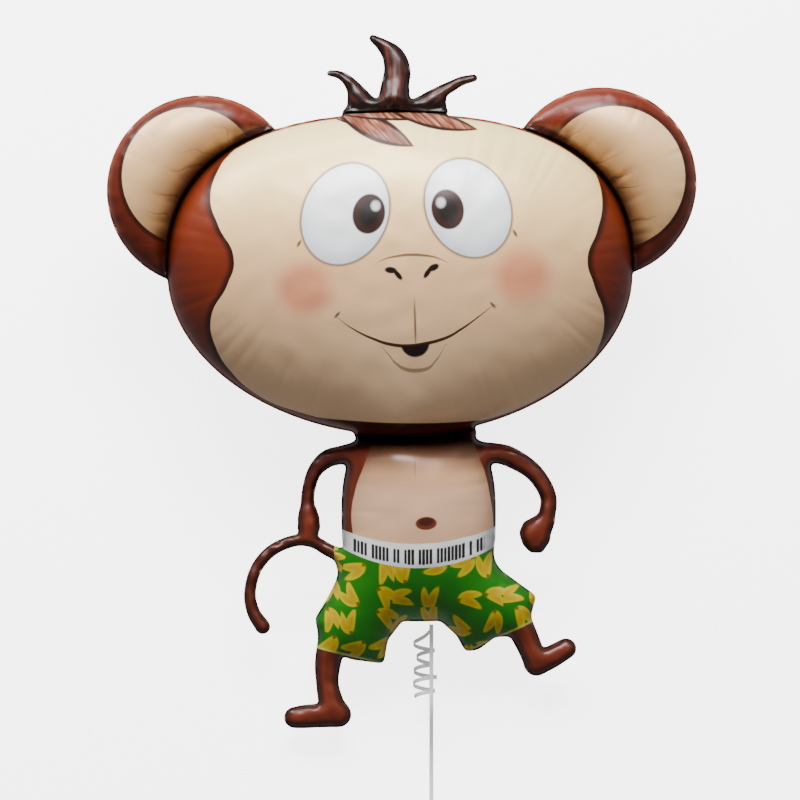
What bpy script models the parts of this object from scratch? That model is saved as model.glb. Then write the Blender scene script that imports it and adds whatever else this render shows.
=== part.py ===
"""Monkey foil balloon with its ribbon, lying on its back on a flat surface.

The balloon is one sealed, inflated foil. Its front and back sheets meet in a flat seam plane.
Each chamber is worked out in that plane, with x to the viewer's right, y towards the hair and z
out of the face, measured from the middle of the head. The whole is then tilted about x until the
back of the head and the back of the body both lie on the surface at z = 0.
Sizes are in metres.
"""

import math

import bmesh
import bpy
import numpy as np
from mathutils import Matrix, Vector

# Head
HEAD_HALF_WIDTH = 0.349
HEAD_TOP = 0.242
HEAD_CHIN = 0.241
HEAD_HALF_DEPTH = 0.165
HEAD_TOP_SQUARENESS = 2.45
HEAD_CHIN_SQUARENESS = 1.93

# Ears
EAR_RADIUS = 0.143
EAR_RIGHT = (0.302, 0.139)
EAR_LEFT = (-0.297, 0.127)
EAR_HALF_DEPTH = 0.052
EAR_MIDDLE_SHARE = 1.20  # the thickest place, as a share of the disc centre's distance
EAR_OVERLAP = 0.92  # the ear runs into the head to this share of the head's outline
EAR_STEPS = 400  # places tried along each ray for the head's outline

# Hair
HAIR_BAND = (-0.009, 0.255)
HAIR_BAND_HALF = (0.083, 0.018, 0.020)
HAIR_BAND_SQUARENESS = 3.0
HAIR_LEFT = [(-0.054, 0.250), (-0.068, 0.270), (-0.084, 0.289), (-0.107, 0.302)]
HAIR_LEFT_RADII = [0.013, 0.012, 0.008, 0.003]
HAIR_MIDDLE = [(-0.008, 0.250), (-0.003, 0.288), (-0.009, 0.324), (-0.042, 0.357)]
HAIR_MIDDLE_RADII = [0.027, 0.024, 0.016, 0.004]
HAIR_RIGHT = [(0.035, 0.250), (0.059, 0.267), (0.084, 0.284), (0.113, 0.296)]
HAIR_RIGHT_RADII = [0.013, 0.011, 0.008, 0.003]

# Trunk
NECK = (0.023, -0.236)
NECK_HALF = (0.092, 0.030, 0.040)
TORSO = (0.028, -0.360)
TORSO_HALF = (0.116, 0.142, 0.086)
TORSO_SQUARENESS = 2.7
HIPS = (0.030, -0.462)
HIPS_HALF = (0.124, 0.0575, 0.078)
HIPS_SQUARENESS = 2.4

# Shorts legs
SHORTS_HALF_DEPTH = 0.060
SHORTS_LEFT_MIDDLE = (-0.062, -0.508)
SHORTS_LEFT = [
    (0.036, -0.475),
    (-0.007, -0.418),
    (-0.102, -0.412),
    (-0.092, -0.450),
    (-0.110, -0.486),
    (-0.128, -0.515),
    (-0.118, -0.560),
    (-0.072, -0.577),
    (-0.024, -0.583),
    (-0.018, -0.547),
    (0.000, -0.524),
]
SHORTS_RIGHT_MIDDLE = (0.126, -0.497)
SHORTS_RIGHT = [
    (0.022, -0.475),
    (0.072, -0.418),
    (0.138, -0.412),
    (0.146, -0.438),
    (0.205, -0.481),
    (0.193, -0.523),
    (0.172, -0.542),
    (0.143, -0.543),
    (0.118, -0.562),
    (0.098, -0.565),
    (0.085, -0.541),
    (0.063, -0.521),
]

# Arms, legs and tail
ARM_LEFT = [(-0.068, -0.272), (-0.108, -0.274), (-0.128, -0.296), (-0.138, -0.328), (-0.138, -0.360)]
ARM_LEFT_RADII = [0.016, 0.014, 0.0105, 0.010, 0.011]
ARM_RIGHT = [(0.122, -0.272), (0.164, -0.272), (0.201, -0.296), (0.222, -0.331), (0.220, -0.366)]
ARM_RIGHT_RADII = [0.018, 0.016, 0.0135, 0.0125, 0.013]
HAND_LEFT = (-0.138, -0.372)
HAND_LEFT_HALF = (0.0175, 0.0230, 0.0150)
HAND_RIGHT = (0.202, -0.393)
HAND_RIGHT_HALF = (0.0230, 0.0260, 0.0190)
WRIST_RIGHT = [(0.220, -0.366), (0.207, -0.388)]
WRIST_RIGHT_RADII = [0.013, 0.014]
LEG_LEFT = [(-0.100, -0.540), (-0.107, -0.590), (-0.105, -0.628), (-0.101, -0.650)]
LEG_LEFT_RADII = [0.022, 0.021, 0.020, 0.020]
FOOT_LEFT = [(-0.091, -0.658), (-0.120, -0.661), (-0.156, -0.664)]
FOOT_LEFT_RADII = [0.0190, 0.0175, 0.0170]
LEG_RIGHT = [(0.172, -0.510), (0.192, -0.552), (0.203, -0.580)]
LEG_RIGHT_RADII = [0.022, 0.019, 0.017]
FOOT_RIGHT = [(0.206, -0.585), (0.228, -0.572), (0.248, -0.560)]
FOOT_RIGHT_RADII = [0.0170, 0.0155, 0.0145]
TAIL = [
    (-0.080, -0.424),
    (-0.106, -0.413),
    (-0.130, -0.400),
    (-0.157, -0.398),
    (-0.191, -0.412),
    (-0.215, -0.439),
    (-0.225, -0.475),
    (-0.220, -0.505),
    (-0.206, -0.527),
]
TAIL_RADII = [0.011, 0.010, 0.0095, 0.009, 0.009, 0.009, 0.009, 0.010, 0.0115]

# How a limb's end is rounded off: the distance past the end and the thickness left there,
# both as shares of the end's radius
END_ROUNDING = [(0.45, 0.89), (0.80, 0.60), (0.97, 0.25)]
LIMB_SIDES_RESOLUTION = 2

# Rest
FLAT_SPOT_DEPTH = 0.002  # how much of the round back is pressed flat where it lies

# Ribbon
RIBBON_WIDTH = 0.006
RIBBON_X = 0.047  # in the seam plane, at the crotch
CROTCH_Y = -0.5205
TOUCH_GAP = 0.0005
RIBBON_FLOOR_GAP = 0.0003
CURL_RADIUS = 0.022
CURL_LENGTH = 0.095
CURL_START = 0.012  # from the crotch
CURL_SIDE = -0.010  # its middle is left of the ribbon
COIL_DISTANCE = 0.395  # from the crotch to the coil's middle
COIL_OUTER_RADIUS = 0.045
COIL_INNER_RADIUS = 0.021
COIL_HEIGHT = 0.0068

BROWN = (0.150, 0.030, 0.012, 1.0)
CREAM = (0.700, 0.480, 0.330, 1.0)
GREEN = (0.010, 0.190, 0.022, 1.0)
RIBBON_GREY = (0.700, 0.700, 0.710, 1.0)


def foil_material(name, colour, roughness, metallic):
    """A Principled material with plain values."""
    material = bpy.data.materials.new(name)
    material.use_nodes = True
    shader = material.node_tree.nodes["Principled BSDF"]
    shader.inputs["Base Color"].default_value = colour
    shader.inputs["Roughness"].default_value = roughness
    shader.inputs["Metallic"].default_value = metallic
    material.diffuse_color = colour
    return material


def chamber(name, rim, half_depth, material, segments, rings):
    """An inflated chamber: a sphere whose equator follows rim(angles) and whose depth is set.

    rim takes an array of angles and returns the outline's points there, and the chamber's
    thickest place is the point that rim measures its angles from.
    """
    shape = bmesh.new()
    bmesh.ops.create_uvsphere(shape, u_segments=segments, v_segments=rings, radius=1.0)
    points = np.array([vertex.co for vertex in shape.verts])
    angles = np.arctan2(points[:, 1], points[:, 0])
    spread = np.hypot(points[:, 0], points[:, 1])[:, None]
    middle, edge = rim(angles)
    flat = middle + (edge - middle) * spread
    height = half_depth * np.sign(points[:, 2]) * np.abs(points[:, 2]) ** 0.92
    for vertex, (x, y), z in zip(shape.verts, flat, height):
        vertex.co = (x, y, z)
    mesh = bpy.data.meshes.new(name)
    shape.to_mesh(mesh)
    shape.free()
    mesh.materials.append(material)
    return mesh


def superellipse(middle, half_width, top, bottom, top_power, bottom_power):
    """A rim whose upper and lower halves have their own height and squareness."""

    def rim(angles):
        across, up = np.cos(angles), np.sin(angles)
        tall = np.where(up >= 0, top, bottom)
        power = np.where(up >= 0, top_power, bottom_power)
        far = (np.abs(across / half_width) ** power + np.abs(up / tall) ** power) ** (-1 / power)
        return np.array(middle), np.array(middle) + np.stack([across * far, up * far], axis=1)

    return rim


def oval_chamber(name, middle, half, material, segments, rings, squareness=2.0):
    """A chamber with an oval outline. half holds its half width, half height and half depth."""
    rim = superellipse(middle, half[0], half[1], half[1], squareness, squareness)
    return chamber(name, rim, half[2], material, segments, rings)


def head_level(x, y):
    """Below 1 inside the head's outline, 1 on it and above 1 outside."""
    tall = np.where(y >= 0, HEAD_TOP, HEAD_CHIN)
    power = np.where(y >= 0, HEAD_TOP_SQUARENESS, HEAD_CHIN_SQUARENESS)
    return (np.abs(x / HEAD_HALF_WIDTH) ** power + np.abs(y / tall) ** power) ** (1 / power)


def ear_rim(disc_middle):
    """A disc's edge, cut short where it has run a little way into the head."""
    disc = np.array(disc_middle)
    thickest = disc * EAR_MIDDLE_SHARE

    def rim(angles):
        way = np.stack([np.cos(angles), np.sin(angles)], axis=1)
        back = thickest - disc
        along = way @ back
        to_disc = -along + np.sqrt(along**2 + EAR_RADIUS**2 - back @ back)
        steps = np.linspace(0.0, 2 * EAR_RADIUS, EAR_STEPS)
        tried = thickest + steps[None, :, None] * way[:, None, :]
        inside = head_level(tried[..., 0], tried[..., 1]) < EAR_OVERLAP
        to_head = np.where(inside.any(axis=1), steps[inside.argmax(axis=1)], 2 * EAR_RADIUS)
        return thickest, thickest + way * np.minimum(to_disc, to_head)[:, None]

    return rim


def outline_rim(middle, outline):
    """A rim through an outline's points, as seen from the middle, straight between them."""
    centre, points = np.array(middle), np.array(outline)
    around = np.arctan2(*(points - centre).T[::-1])
    order = np.argsort(around)
    around, points = around[order], points[order]
    around = np.concatenate([around[-1:] - 2 * math.pi, around, around[:1] + 2 * math.pi])
    points = np.concatenate([points[-1:], points, points[:1]])

    def rim(angles):
        edge = [np.interp(angles, around, points[:, axis]) for axis in (0, 1)]
        return centre, np.stack(edge, axis=1)

    return rim


def smooth_line(points, count):
    """Count points along the Catmull-Rom curve through the given ones, of any dimension."""
    given = np.array(points, float)
    given = np.concatenate([2 * given[:1] - given[1:2], given, 2 * given[-1:] - given[-2:-1]])
    place = np.linspace(0, len(points) - 1, count)
    span = np.minimum(place.astype(int), len(points) - 2)
    t = (place - span)[:, None]
    a, b, c, d = (given[span + step] for step in range(4))
    return 0.5 * (
        2 * b + (c - a) * t + (2 * a - 5 * b + 4 * c - d) * t**2 + (3 * b - a - 3 * c + d) * t**3
    )


def tube_curve(name, points, radii, sides_resolution):
    """A curve object with filled caps, whose radius changes from point to point."""
    curve = bpy.data.curves.new(name, "CURVE")
    curve.dimensions = "3D"
    curve.use_fill_caps = True
    curve.bevel_depth = 1.0
    curve.bevel_resolution = sides_resolution
    spline = curve.splines.new("POLY")
    spline.points.add(len(points) - 1)
    for knot, place, radius in zip(spline.points, points, radii):
        knot.co = (*place, 1.0)
        knot.radius = radius
    return bpy.data.objects.new(name, curve)


def mesh_of_curve(obj):
    """The curve's mesh with its caps welded on. The curve object is removed."""
    bpy.context.scene.collection.objects.link(obj)
    graph = bpy.context.evaluated_depsgraph_get()
    mesh = bpy.data.meshes.new_from_object(obj.evaluated_get(graph))
    shape = bmesh.new()
    shape.from_mesh(mesh)
    bmesh.ops.remove_doubles(shape, verts=shape.verts, dist=1e-6)
    bmesh.ops.recalc_face_normals(shape, faces=shape.faces)
    shape.to_mesh(mesh)
    shape.free()
    curve = obj.data
    bpy.data.objects.remove(obj)
    bpy.data.curves.remove(curve)
    return mesh


def limb(name, points, radii, material, steps=5):
    """A foil tube along a smooth line in the seam plane, with rounded ends."""
    count = (len(points) - 1) * steps + 1
    line = smooth_line([(*place, radius) for place, radius in zip(points, radii)], count)
    start, end = line[0], line[-1]
    out_start = (start - line[1])[:2] / np.linalg.norm((start - line[1])[:2])
    out_end = (end - line[-2])[:2] / np.linalg.norm((end - line[-2])[:2])
    before = [(*(start[:2] + out_start * start[2] * far), start[2] * thin) for far, thin in END_ROUNDING]
    after = [(*(end[:2] + out_end * end[2] * far), end[2] * thin) for far, thin in END_ROUNDING]
    line = np.array([*before[::-1], *line, *after])
    places = [(x, y, 0.0) for x, y in line[:, :2]]
    mesh = mesh_of_curve(tube_curve(name, places, line[:, 2], LIMB_SIDES_RESOLUTION))
    mesh.materials.clear()
    mesh.materials.append(material)
    return mesh


def balloon_chambers(brown, cream, green):
    """Every chamber but the head, as meshes in the seam plane."""
    trunk = [
        oval_chamber("neck", NECK, NECK_HALF, brown, 24, 12),
        oval_chamber("torso", TORSO, TORSO_HALF, cream, 32, 16, TORSO_SQUARENESS),
    ]
    left_rim = outline_rim(SHORTS_LEFT_MIDDLE, SHORTS_LEFT)
    right_rim = outline_rim(SHORTS_RIGHT_MIDDLE, SHORTS_RIGHT)
    shorts = [
        oval_chamber("hips", HIPS, HIPS_HALF, green, 32, 16, HIPS_SQUARENESS),
        chamber("shorts_left", left_rim, SHORTS_HALF_DEPTH, green, 44, 12),
        chamber("shorts_right", right_rim, SHORTS_HALF_DEPTH, green, 44, 12),
    ]
    ears = [
        chamber("ear_right", ear_rim(EAR_RIGHT), EAR_HALF_DEPTH, cream, 36, 12),
        chamber("ear_left", ear_rim(EAR_LEFT), EAR_HALF_DEPTH, cream, 36, 12),
    ]
    hair = [
        oval_chamber("hair_band", HAIR_BAND, HAIR_BAND_HALF, brown, 24, 8, HAIR_BAND_SQUARENESS),
        limb("hair_left", HAIR_LEFT, HAIR_LEFT_RADII, brown, 3),
        limb("hair_middle", HAIR_MIDDLE, HAIR_MIDDLE_RADII, brown, 3),
        limb("hair_right", HAIR_RIGHT, HAIR_RIGHT_RADII, brown, 3),
    ]
    arms = [
        limb("arm_left", ARM_LEFT, ARM_LEFT_RADII, brown, 3),
        limb("arm_right", ARM_RIGHT, ARM_RIGHT_RADII, brown, 3),
        limb("wrist_right", WRIST_RIGHT, WRIST_RIGHT_RADII, brown, 2),
        oval_chamber("hand_left", HAND_LEFT, HAND_LEFT_HALF, brown, 16, 10),
        oval_chamber("hand_right", HAND_RIGHT, HAND_RIGHT_HALF, brown, 16, 10),
    ]
    legs = [
        limb("leg_left", LEG_LEFT, LEG_LEFT_RADII, brown, 2),
        limb("foot_left", FOOT_LEFT, FOOT_LEFT_RADII, brown, 3),
        limb("leg_right", LEG_RIGHT, LEG_RIGHT_RADII, brown, 3),
        limb("foot_right", FOOT_RIGHT, FOOT_RIGHT_RADII, brown, 3),
    ]
    tail = [limb("tail", TAIL, TAIL_RADII, brown, 3)]
    return trunk, shorts, ears + hair + arms + legs + tail


def points_of(meshes):
    return np.array([vertex.co for mesh in meshes for vertex in mesh.vertices])


def tilted_heights(points, angle):
    return points[:, 2] * math.cos(angle) + points[:, 1] * math.sin(angle)


def resting_angle(head_points, body_points):
    """The tilt about x at which the head and the body reach equally low, by halving a range."""
    low, high = 0.0, math.radians(40)
    for _ in range(40):
        angle = (low + high) / 2
        if tilted_heights(head_points, angle).min() < tilted_heights(body_points, angle).min():
            low = angle
        else:
            high = angle
    return angle


def place_on_floor(head, body, every):
    """The matrix from the seam plane to the world, with the origin below the box's middle."""
    angle = resting_angle(points_of([head]), points_of(body))
    turn = Matrix.Rotation(angle, 4, "X")
    turned = points_of(every) @ np.array(turn.to_3x3()).T
    low, high = turned.min(axis=0), turned.max(axis=0)
    middle = (low + high) / 2
    shift = Vector((-middle[0], -middle[1], -low[2] - FLAT_SPOT_DEPTH))
    return Matrix.Translation(shift) @ turn


def helper(name, mesh, collection):
    """An object that only cuts or joins, so it is drawn as wire and never rendered."""
    obj = bpy.data.objects.new(name, mesh)
    obj.hide_render = True
    obj.display_type = "WIRE"
    collection.objects.link(obj)
    return obj


def floor_block(helpers):
    """A block below z = 0, which presses the flat spots."""
    shape = bmesh.new()
    bmesh.ops.create_cube(shape, size=1.0)
    bmesh.ops.scale(shape, verts=shape.verts, vec=(3.0, 3.0, 0.2))
    bmesh.ops.translate(shape, verts=shape.verts, vec=(0.0, 0.0, -0.1))
    mesh = bpy.data.meshes.new("floor_block")
    shape.to_mesh(mesh)
    shape.free()
    return helper("floor_block", mesh, helpers)


def build_balloon(collection, helpers, joined):
    """The balloon as one solid. Returns the matrix from its seam plane to the world."""
    brown = foil_material("brown_foil", BROWN, 0.28, 0.25)
    cream = foil_material("cream_foil", CREAM, 0.30, 0.20)
    green = foil_material("green_foil", GREEN, 0.30, 0.20)
    rim = superellipse(
        (0.0, 0.0), HEAD_HALF_WIDTH, HEAD_TOP, HEAD_CHIN, HEAD_TOP_SQUARENESS, HEAD_CHIN_SQUARENESS
    )
    head = chamber("foil_balloon", rim, HEAD_HALF_DEPTH, cream, 48, 24)
    trunk, shorts, rest = balloon_chambers(brown, cream, green)
    others = trunk + shorts + rest
    to_world = place_on_floor(head, trunk + shorts, [head, *others])
    for mesh in [head, *others]:
        mesh.transform(to_world)
    for mesh in others:
        helper(mesh.name, mesh, joined)

    balloon = bpy.data.objects.new("foil_balloon", head)
    collection.objects.link(balloon)
    union = balloon.modifiers.new("join_chambers", "BOOLEAN")
    union.operation = "UNION"
    union.operand_type = "COLLECTION"
    union.collection = joined
    union.solver = "EXACT"
    union.use_self = True
    union.material_mode = "TRANSFER"
    press = balloon.modifiers.new("press_flat", "BOOLEAN")
    press.operation = "DIFFERENCE"
    press.object = floor_block(helpers)
    press.solver = "EXACT"
    head.shade_smooth()
    return to_world


def ribbon_route(start):
    """The ribbon's middle line: out of the crotch, over the curled end and down to the floor."""
    floor = RIBBON_WIDTH / 2 + RIBBON_FLOOR_GAP
    over_curl = 2 * CURL_RADIUS + RIBBON_WIDTH / 2 + 0.002
    curl_end = CURL_START + CURL_LENGTH
    ring_reach = COIL_OUTER_RADIUS - RIBBON_WIDTH / 2
    short_of = math.sqrt(COIL_OUTER_RADIUS**2 - (ring_reach - RIBBON_WIDTH / 2) ** 2)
    last = COIL_DISTANCE - short_of - 2 * TOUCH_GAP
    heights = [
        (0.0, start.z),
        (0.020, start.z),
        (0.5 * curl_end, max(over_curl, 0.5 * (start.z + over_curl))),
        (0.85 * curl_end, over_curl + 0.001),
        (curl_end + 0.015, over_curl - 0.003),
        (curl_end + 0.045, 0.62 * over_curl),
        (curl_end + 0.075, 0.27 * over_curl),
        (curl_end + 0.105, floor + 0.002),
        (curl_end + 0.130, floor),
        (last, floor),
    ]
    return [(start.x, start.y - away, height) for away, height in heights]


def build_ribbon(collection, material, start):
    route = smooth_line(ribbon_route(start), 28)
    floor = RIBBON_WIDTH / 2 + RIBBON_FLOOR_GAP
    route[:, 2] = np.maximum(route[:, 2], floor)
    ribbon = tube_curve("ribbon", route, [RIBBON_WIDTH / 2] * len(route), 2)
    ribbon.data.materials.append(material)
    collection.objects.link(ribbon)


def build_curl(collection, material, start):
    """The ribbon's short curled end, as a tube of the curl's outer size, lying on the floor."""
    bottom = CURL_RADIUS + RIBBON_FLOOR_GAP
    top = bottom + 0.006
    first, last = start.y - CURL_START, start.y - CURL_START - CURL_LENGTH
    x = start.x + CURL_SIDE
    points = smooth_line([(x, first, top), (x, (first + last) / 2, bottom + 0.001), (x, last, bottom)], 7)
    curl = tube_curve("ribbon_curl", points, [CURL_RADIUS] * len(points), 3)
    curl.data.materials.append(material)
    collection.objects.link(curl)


def build_coil(collection, material, start):
    """The rest of the ribbon, wound up: a flat ring turned about its own axis."""
    shape = bmesh.new()
    low, high = RIBBON_FLOOR_GAP, RIBBON_FLOOR_GAP + COIL_HEIGHT
    corners = [
        (COIL_OUTER_RADIUS, high),
        (COIL_OUTER_RADIUS, low),
        (COIL_INNER_RADIUS, low),
        (COIL_INNER_RADIUS, high),
    ]
    verts = [shape.verts.new((radius, 0.0, z)) for radius, z in corners]
    for one, other in zip(verts, verts[1:] + verts[:1]):
        shape.edges.new((one, other))
    mesh = bpy.data.meshes.new("ribbon_coil")
    shape.to_mesh(mesh)
    shape.free()
    mesh.materials.append(material)
    coil = bpy.data.objects.new("ribbon_coil", mesh)
    middle_x = start.x + COIL_OUTER_RADIUS - RIBBON_WIDTH / 2
    coil.location = (middle_x, start.y - COIL_DISTANCE, 0.0)
    turn = coil.modifiers.new("turn", "SCREW")
    turn.steps = turn.render_steps = 40
    turn.use_merge_vertices = True
    turn.merge_threshold = 0.0001
    collection.objects.link(coil)


def main():
    for obj in list(bpy.data.objects):
        bpy.data.objects.remove(obj, do_unlink=True)
    scene = bpy.context.scene
    scene.unit_settings.system = "METRIC"
    collection = bpy.data.collections.new("monkey_foil_balloon")
    helpers = bpy.data.collections.new("cutters")
    joined = bpy.data.collections.new("chambers_to_join")
    for group in (collection, helpers, joined):
        scene.collection.children.link(group)

    to_world = build_balloon(collection, helpers, joined)
    ribbon = foil_material("ribbon", RIBBON_GREY, 0.35, 0.0)
    crotch = to_world @ Vector((RIBBON_X, CROTCH_Y, 0.0))
    start = crotch - Vector((0.0, RIBBON_WIDTH / 2 + TOUCH_GAP, 0.0))
    build_ribbon(collection, ribbon, start)
    build_curl(collection, ribbon, start)
    build_coil(collection, ribbon, start)


main()
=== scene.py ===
"""The looks of a monkey foil balloon that lies on its back, with its ribbon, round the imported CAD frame.

The balloon is two printed films welded flat at their edge. Its shape is worked out as gas makes it: the
silhouette is a union of simple outlines, and the thickness over it follows the square root of the solution
of Poisson's equation, held at nothing along the weld and the inner weld lines.
"""

import logging
import math
from dataclasses import dataclass, field
from enum import Enum
from typing import Sequence

import bpy
import numpy as np
from mathutils import Matrix, Vector
from mathutils.geometry import delaunay_2d_cdt

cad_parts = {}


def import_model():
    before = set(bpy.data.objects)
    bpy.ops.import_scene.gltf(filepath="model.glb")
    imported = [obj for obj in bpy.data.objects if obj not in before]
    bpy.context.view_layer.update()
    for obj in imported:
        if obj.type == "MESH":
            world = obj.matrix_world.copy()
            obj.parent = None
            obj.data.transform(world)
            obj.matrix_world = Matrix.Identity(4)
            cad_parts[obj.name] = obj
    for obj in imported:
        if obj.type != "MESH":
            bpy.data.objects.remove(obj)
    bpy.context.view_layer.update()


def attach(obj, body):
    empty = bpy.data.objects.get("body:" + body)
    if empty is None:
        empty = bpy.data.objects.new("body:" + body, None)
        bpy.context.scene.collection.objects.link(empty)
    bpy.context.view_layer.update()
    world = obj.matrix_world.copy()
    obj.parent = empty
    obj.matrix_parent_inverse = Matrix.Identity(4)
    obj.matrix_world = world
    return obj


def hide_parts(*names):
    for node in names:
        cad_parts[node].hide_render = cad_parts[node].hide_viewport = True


log = logging.getLogger("monkey_foil_balloon")

Point = tuple[float, float]

UNIT = 0.0036
HEAD_MIDDLE_UNITS = (402.0, 108.0)
TURN = 2 * math.pi
CRISP = 0.0006
FAR_SQUARED = 9.0
WHITE_LIGHT = (1.0, 1.0, 1.0, 1.0)


def spot(across: float, down: float) -> Point:
    """Place on the seam plane, in metres from the head's middle, of a place in units of 3.6 mm.

    Args:
        across: units to the right.
        down: units downwards.

    Returns:
        x to the right and y towards the hair.
    """
    return (across - HEAD_MIDDLE_UNITS[0]) * UNIT, (HEAD_MIDDLE_UNITS[1] - down) * UNIT


def spots(*places: Point) -> tuple[Point, ...]:
    """Several places on the seam plane, each from a pair of units across and down."""
    return tuple(spot(*place) for place in places)


def link_mesh(name: str, points: np.ndarray, faces: Sequence[Sequence[int]]) -> bpy.types.Object:
    """A smooth-shaded object of points and faces, placed in the scene."""
    mesh = bpy.data.meshes.new(name)
    mesh.from_pydata(points.tolist(), [], faces)
    mesh.polygons.foreach_set("use_smooth", np.ones(len(mesh.polygons), bool))
    piece = bpy.data.objects.new(name, mesh)
    bpy.context.collection.objects.link(piece)
    return piece


def write_values(mesh: bpy.types.Mesh, name: str, kind: str, values: np.ndarray) -> None:
    """Store a value for each of a mesh's points."""
    layer = mesh.attributes.new(name, kind, "POINT")
    field_name = "vector" if kind == "FLOAT_VECTOR" else "value"
    layer.data.foreach_set(field_name, values.astype(np.float32).ravel())


def distance_along(points: np.ndarray) -> np.ndarray:
    """How far each point of a line is from its first, along the line."""
    return np.concatenate([[0], np.cumsum(np.linalg.norm(np.diff(points, axis=0), axis=1))])


def unit(vectors: np.ndarray) -> np.ndarray:
    """Vectors, in rows, at a length of 1."""
    return vectors / np.linalg.norm(vectors, axis=1)[:, None]


def linear(red: int, green: int, blue: int) -> tuple[float, float, float, float]:
    """Colour with values of 0 to 255 as the linear one that a shader takes."""
    shares = np.array([red, green, blue]) / 255.0
    values = np.where(shares <= 0.04045, shares / 12.92, ((shares + 0.055) / 1.055) ** 2.4)
    return (float(values[0]), float(values[1]), float(values[2]), 1.0)


def set_inputs(node: bpy.types.Node, values: dict[str, object]) -> None:
    """Set a node's inputs by their names."""
    for name, value in values.items():
        node.inputs[name].default_value = value


@dataclass(frozen=True)
class Posture:
    """How the balloon's seam plane lies over the floor: turned about X, then moved."""

    angle: float = math.radians(11.448230332)
    shift: tuple[float, float, float] = (-0.002535, 0.156825, 0.167021)

    def to_world(self, points: np.ndarray) -> np.ndarray:
        """Points of the seam plane's frame, as rows of x, y, z, in the model's frame."""
        cosine, sine = math.cos(self.angle), math.sin(self.angle)
        turn = np.array([[1, 0, 0], [0, cosine, -sine], [0, sine, cosine]])
        return points @ turn.T + np.array(self.shift)

    def outward(self) -> Vector:
        """Direction out of the face, square to the seam plane."""
        return Vector((0, -math.sin(self.angle), math.cos(self.angle)))

    def upward(self) -> Vector:
        """Direction towards the hair, along the seam plane."""
        return Vector((0, math.cos(self.angle), math.sin(self.angle)))


@dataclass(frozen=True)
class Raster:
    """A square raster over the seam plane, on which the silhouette and the thickness are worked out."""

    cell: float = 0.0016
    low: Point = (-0.4608, -0.7008)
    size: tuple[int, int] = (576, 680)

    def axes(self) -> tuple[np.ndarray, np.ndarray]:
        """The x of every column and the y of every row."""
        return (
            self.low[0] + self.cell * np.arange(self.size[0]),
            self.low[1] + self.cell * np.arange(self.size[1]),
        )

    def places(self) -> tuple[np.ndarray, np.ndarray]:
        """The x and y of every cell, as two arrays of rows and columns."""
        columns, rows = self.axes()
        return np.meshgrid(columns, rows)

    def window(self, low: np.ndarray, high: np.ndarray, margin: float) -> tuple[slice, slice]:
        """Rows and columns that hold a box, and a margin round it."""
        first = np.floor((low - margin - np.array(self.low)) / self.cell).astype(int)
        last = np.ceil((high + margin - np.array(self.low)) / self.cell).astype(int) + 1
        first = np.maximum(first, 0)
        return slice(first[1], last[1]), slice(first[0], last[0])

    def read(self, values: np.ndarray, points: np.ndarray) -> np.ndarray:
        """Values between the cells: a mean of the four round each point, by its nearness to them."""
        at = (points[:, :2] - np.array(self.low)) / self.cell
        at = np.clip(at, 0, np.array(self.size) - 1.001)
        whole = at.astype(int)
        part = at - whole
        column, row = whole[:, 0], whole[:, 1]
        low = values[row, column] * (1 - part[:, 0]) + values[row, column + 1] * part[:, 0]
        high = values[row + 1, column] * (1 - part[:, 0]) + values[row + 1, column + 1] * part[:, 0]
        return low * (1 - part[:, 1]) + high * part[:, 1]

    def contours(self, values: np.ndarray, level: float) -> list[np.ndarray]:
        """Closed lines along which the values are at a level, each with the higher side on its left.

        Every side of a cell whose ends differ gets one crossing, and a table says which crossings a cell
        joins. The crossings are put in order along each line by doubling the length of every hop.

        Args:
            values: a number for each cell, below the level all round the raster.
            level: the level.

        Returns:
            One array of points for each line.
        """
        columns, rows = self.places()
        above = values > level
        numbers, crossings, total = [], [], 0
        for down, across in ((0, 1), (1, 0)):
            beside = np.roll(values, (-down, -across), (0, 1))
            crossed = above != (beside > level)
            number = np.full(above.shape, -1)
            number[crossed] = total + np.arange(crossed.sum())
            total += crossed.sum()
            hop = (level - values[crossed]) / (beside[crossed] - values[crossed]) * self.cell
            crossings.append(np.column_stack([columns[crossed] + hop * across, rows[crossed] + hop * down]))
            numbers.append(number)
        points = np.vstack(crossings)
        flat, upright = numbers
        case = above[:-1, :-1] + 2 * above[:-1, 1:] + 4 * above[1:, 1:] + 8 * above[1:, :-1]
        sides = np.stack([flat[:-1, :-1], upright[:-1, 1:], flat[1:, :-1], upright[:-1, :-1]])
        follow = np.full(len(points), -1)
        joins = {
            1: [(0, 3)], 2: [(1, 0)], 3: [(1, 3)], 4: [(2, 1)], 5: [(0, 3), (2, 1)], 6: [(2, 0)],
            7: [(2, 3)], 8: [(3, 2)], 9: [(0, 2)], 10: [(1, 0), (3, 2)], 11: [(1, 2)], 12: [(3, 1)],
            13: [(0, 1)], 14: [(3, 0)],
        }
        for number, pairs in joins.items():
            where = case == number
            for start, end in pairs:
                follow[sides[start][where]] = sides[end][where]
        return [points[order] for order in ordered_rings(follow)]


def ordered_rings(follow: np.ndarray) -> list[np.ndarray]:
    """Rings of a one-to-one "next" table, each as indices in order.

    Each ring is cut at its lowest index. Then every index looks twice as far ahead at each round, so that
    after a few rounds it knows its distance to the cut.

    Args:
        follow: for each index, the one that comes next.

    Returns:
        One array of indices for each ring.
    """
    count = len(follow)
    rounds = int(math.ceil(math.log2(max(count, 2)))) + 1
    label, hop = np.arange(count), follow.copy()
    for _ in range(rounds):
        label = np.minimum(label, label[hop])
        hop = hop[hop]
    last = label[follow] == follow
    hop = np.where(last, np.arange(count), follow)
    steps = np.where(last, 0, 1)
    for _ in range(rounds):
        steps = steps + steps[hop]
        hop = hop[hop]
    order = np.lexsort((-steps, label))
    starts = np.flatnonzero(np.diff(label[order])) + 1
    return np.split(order, starts)


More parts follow.
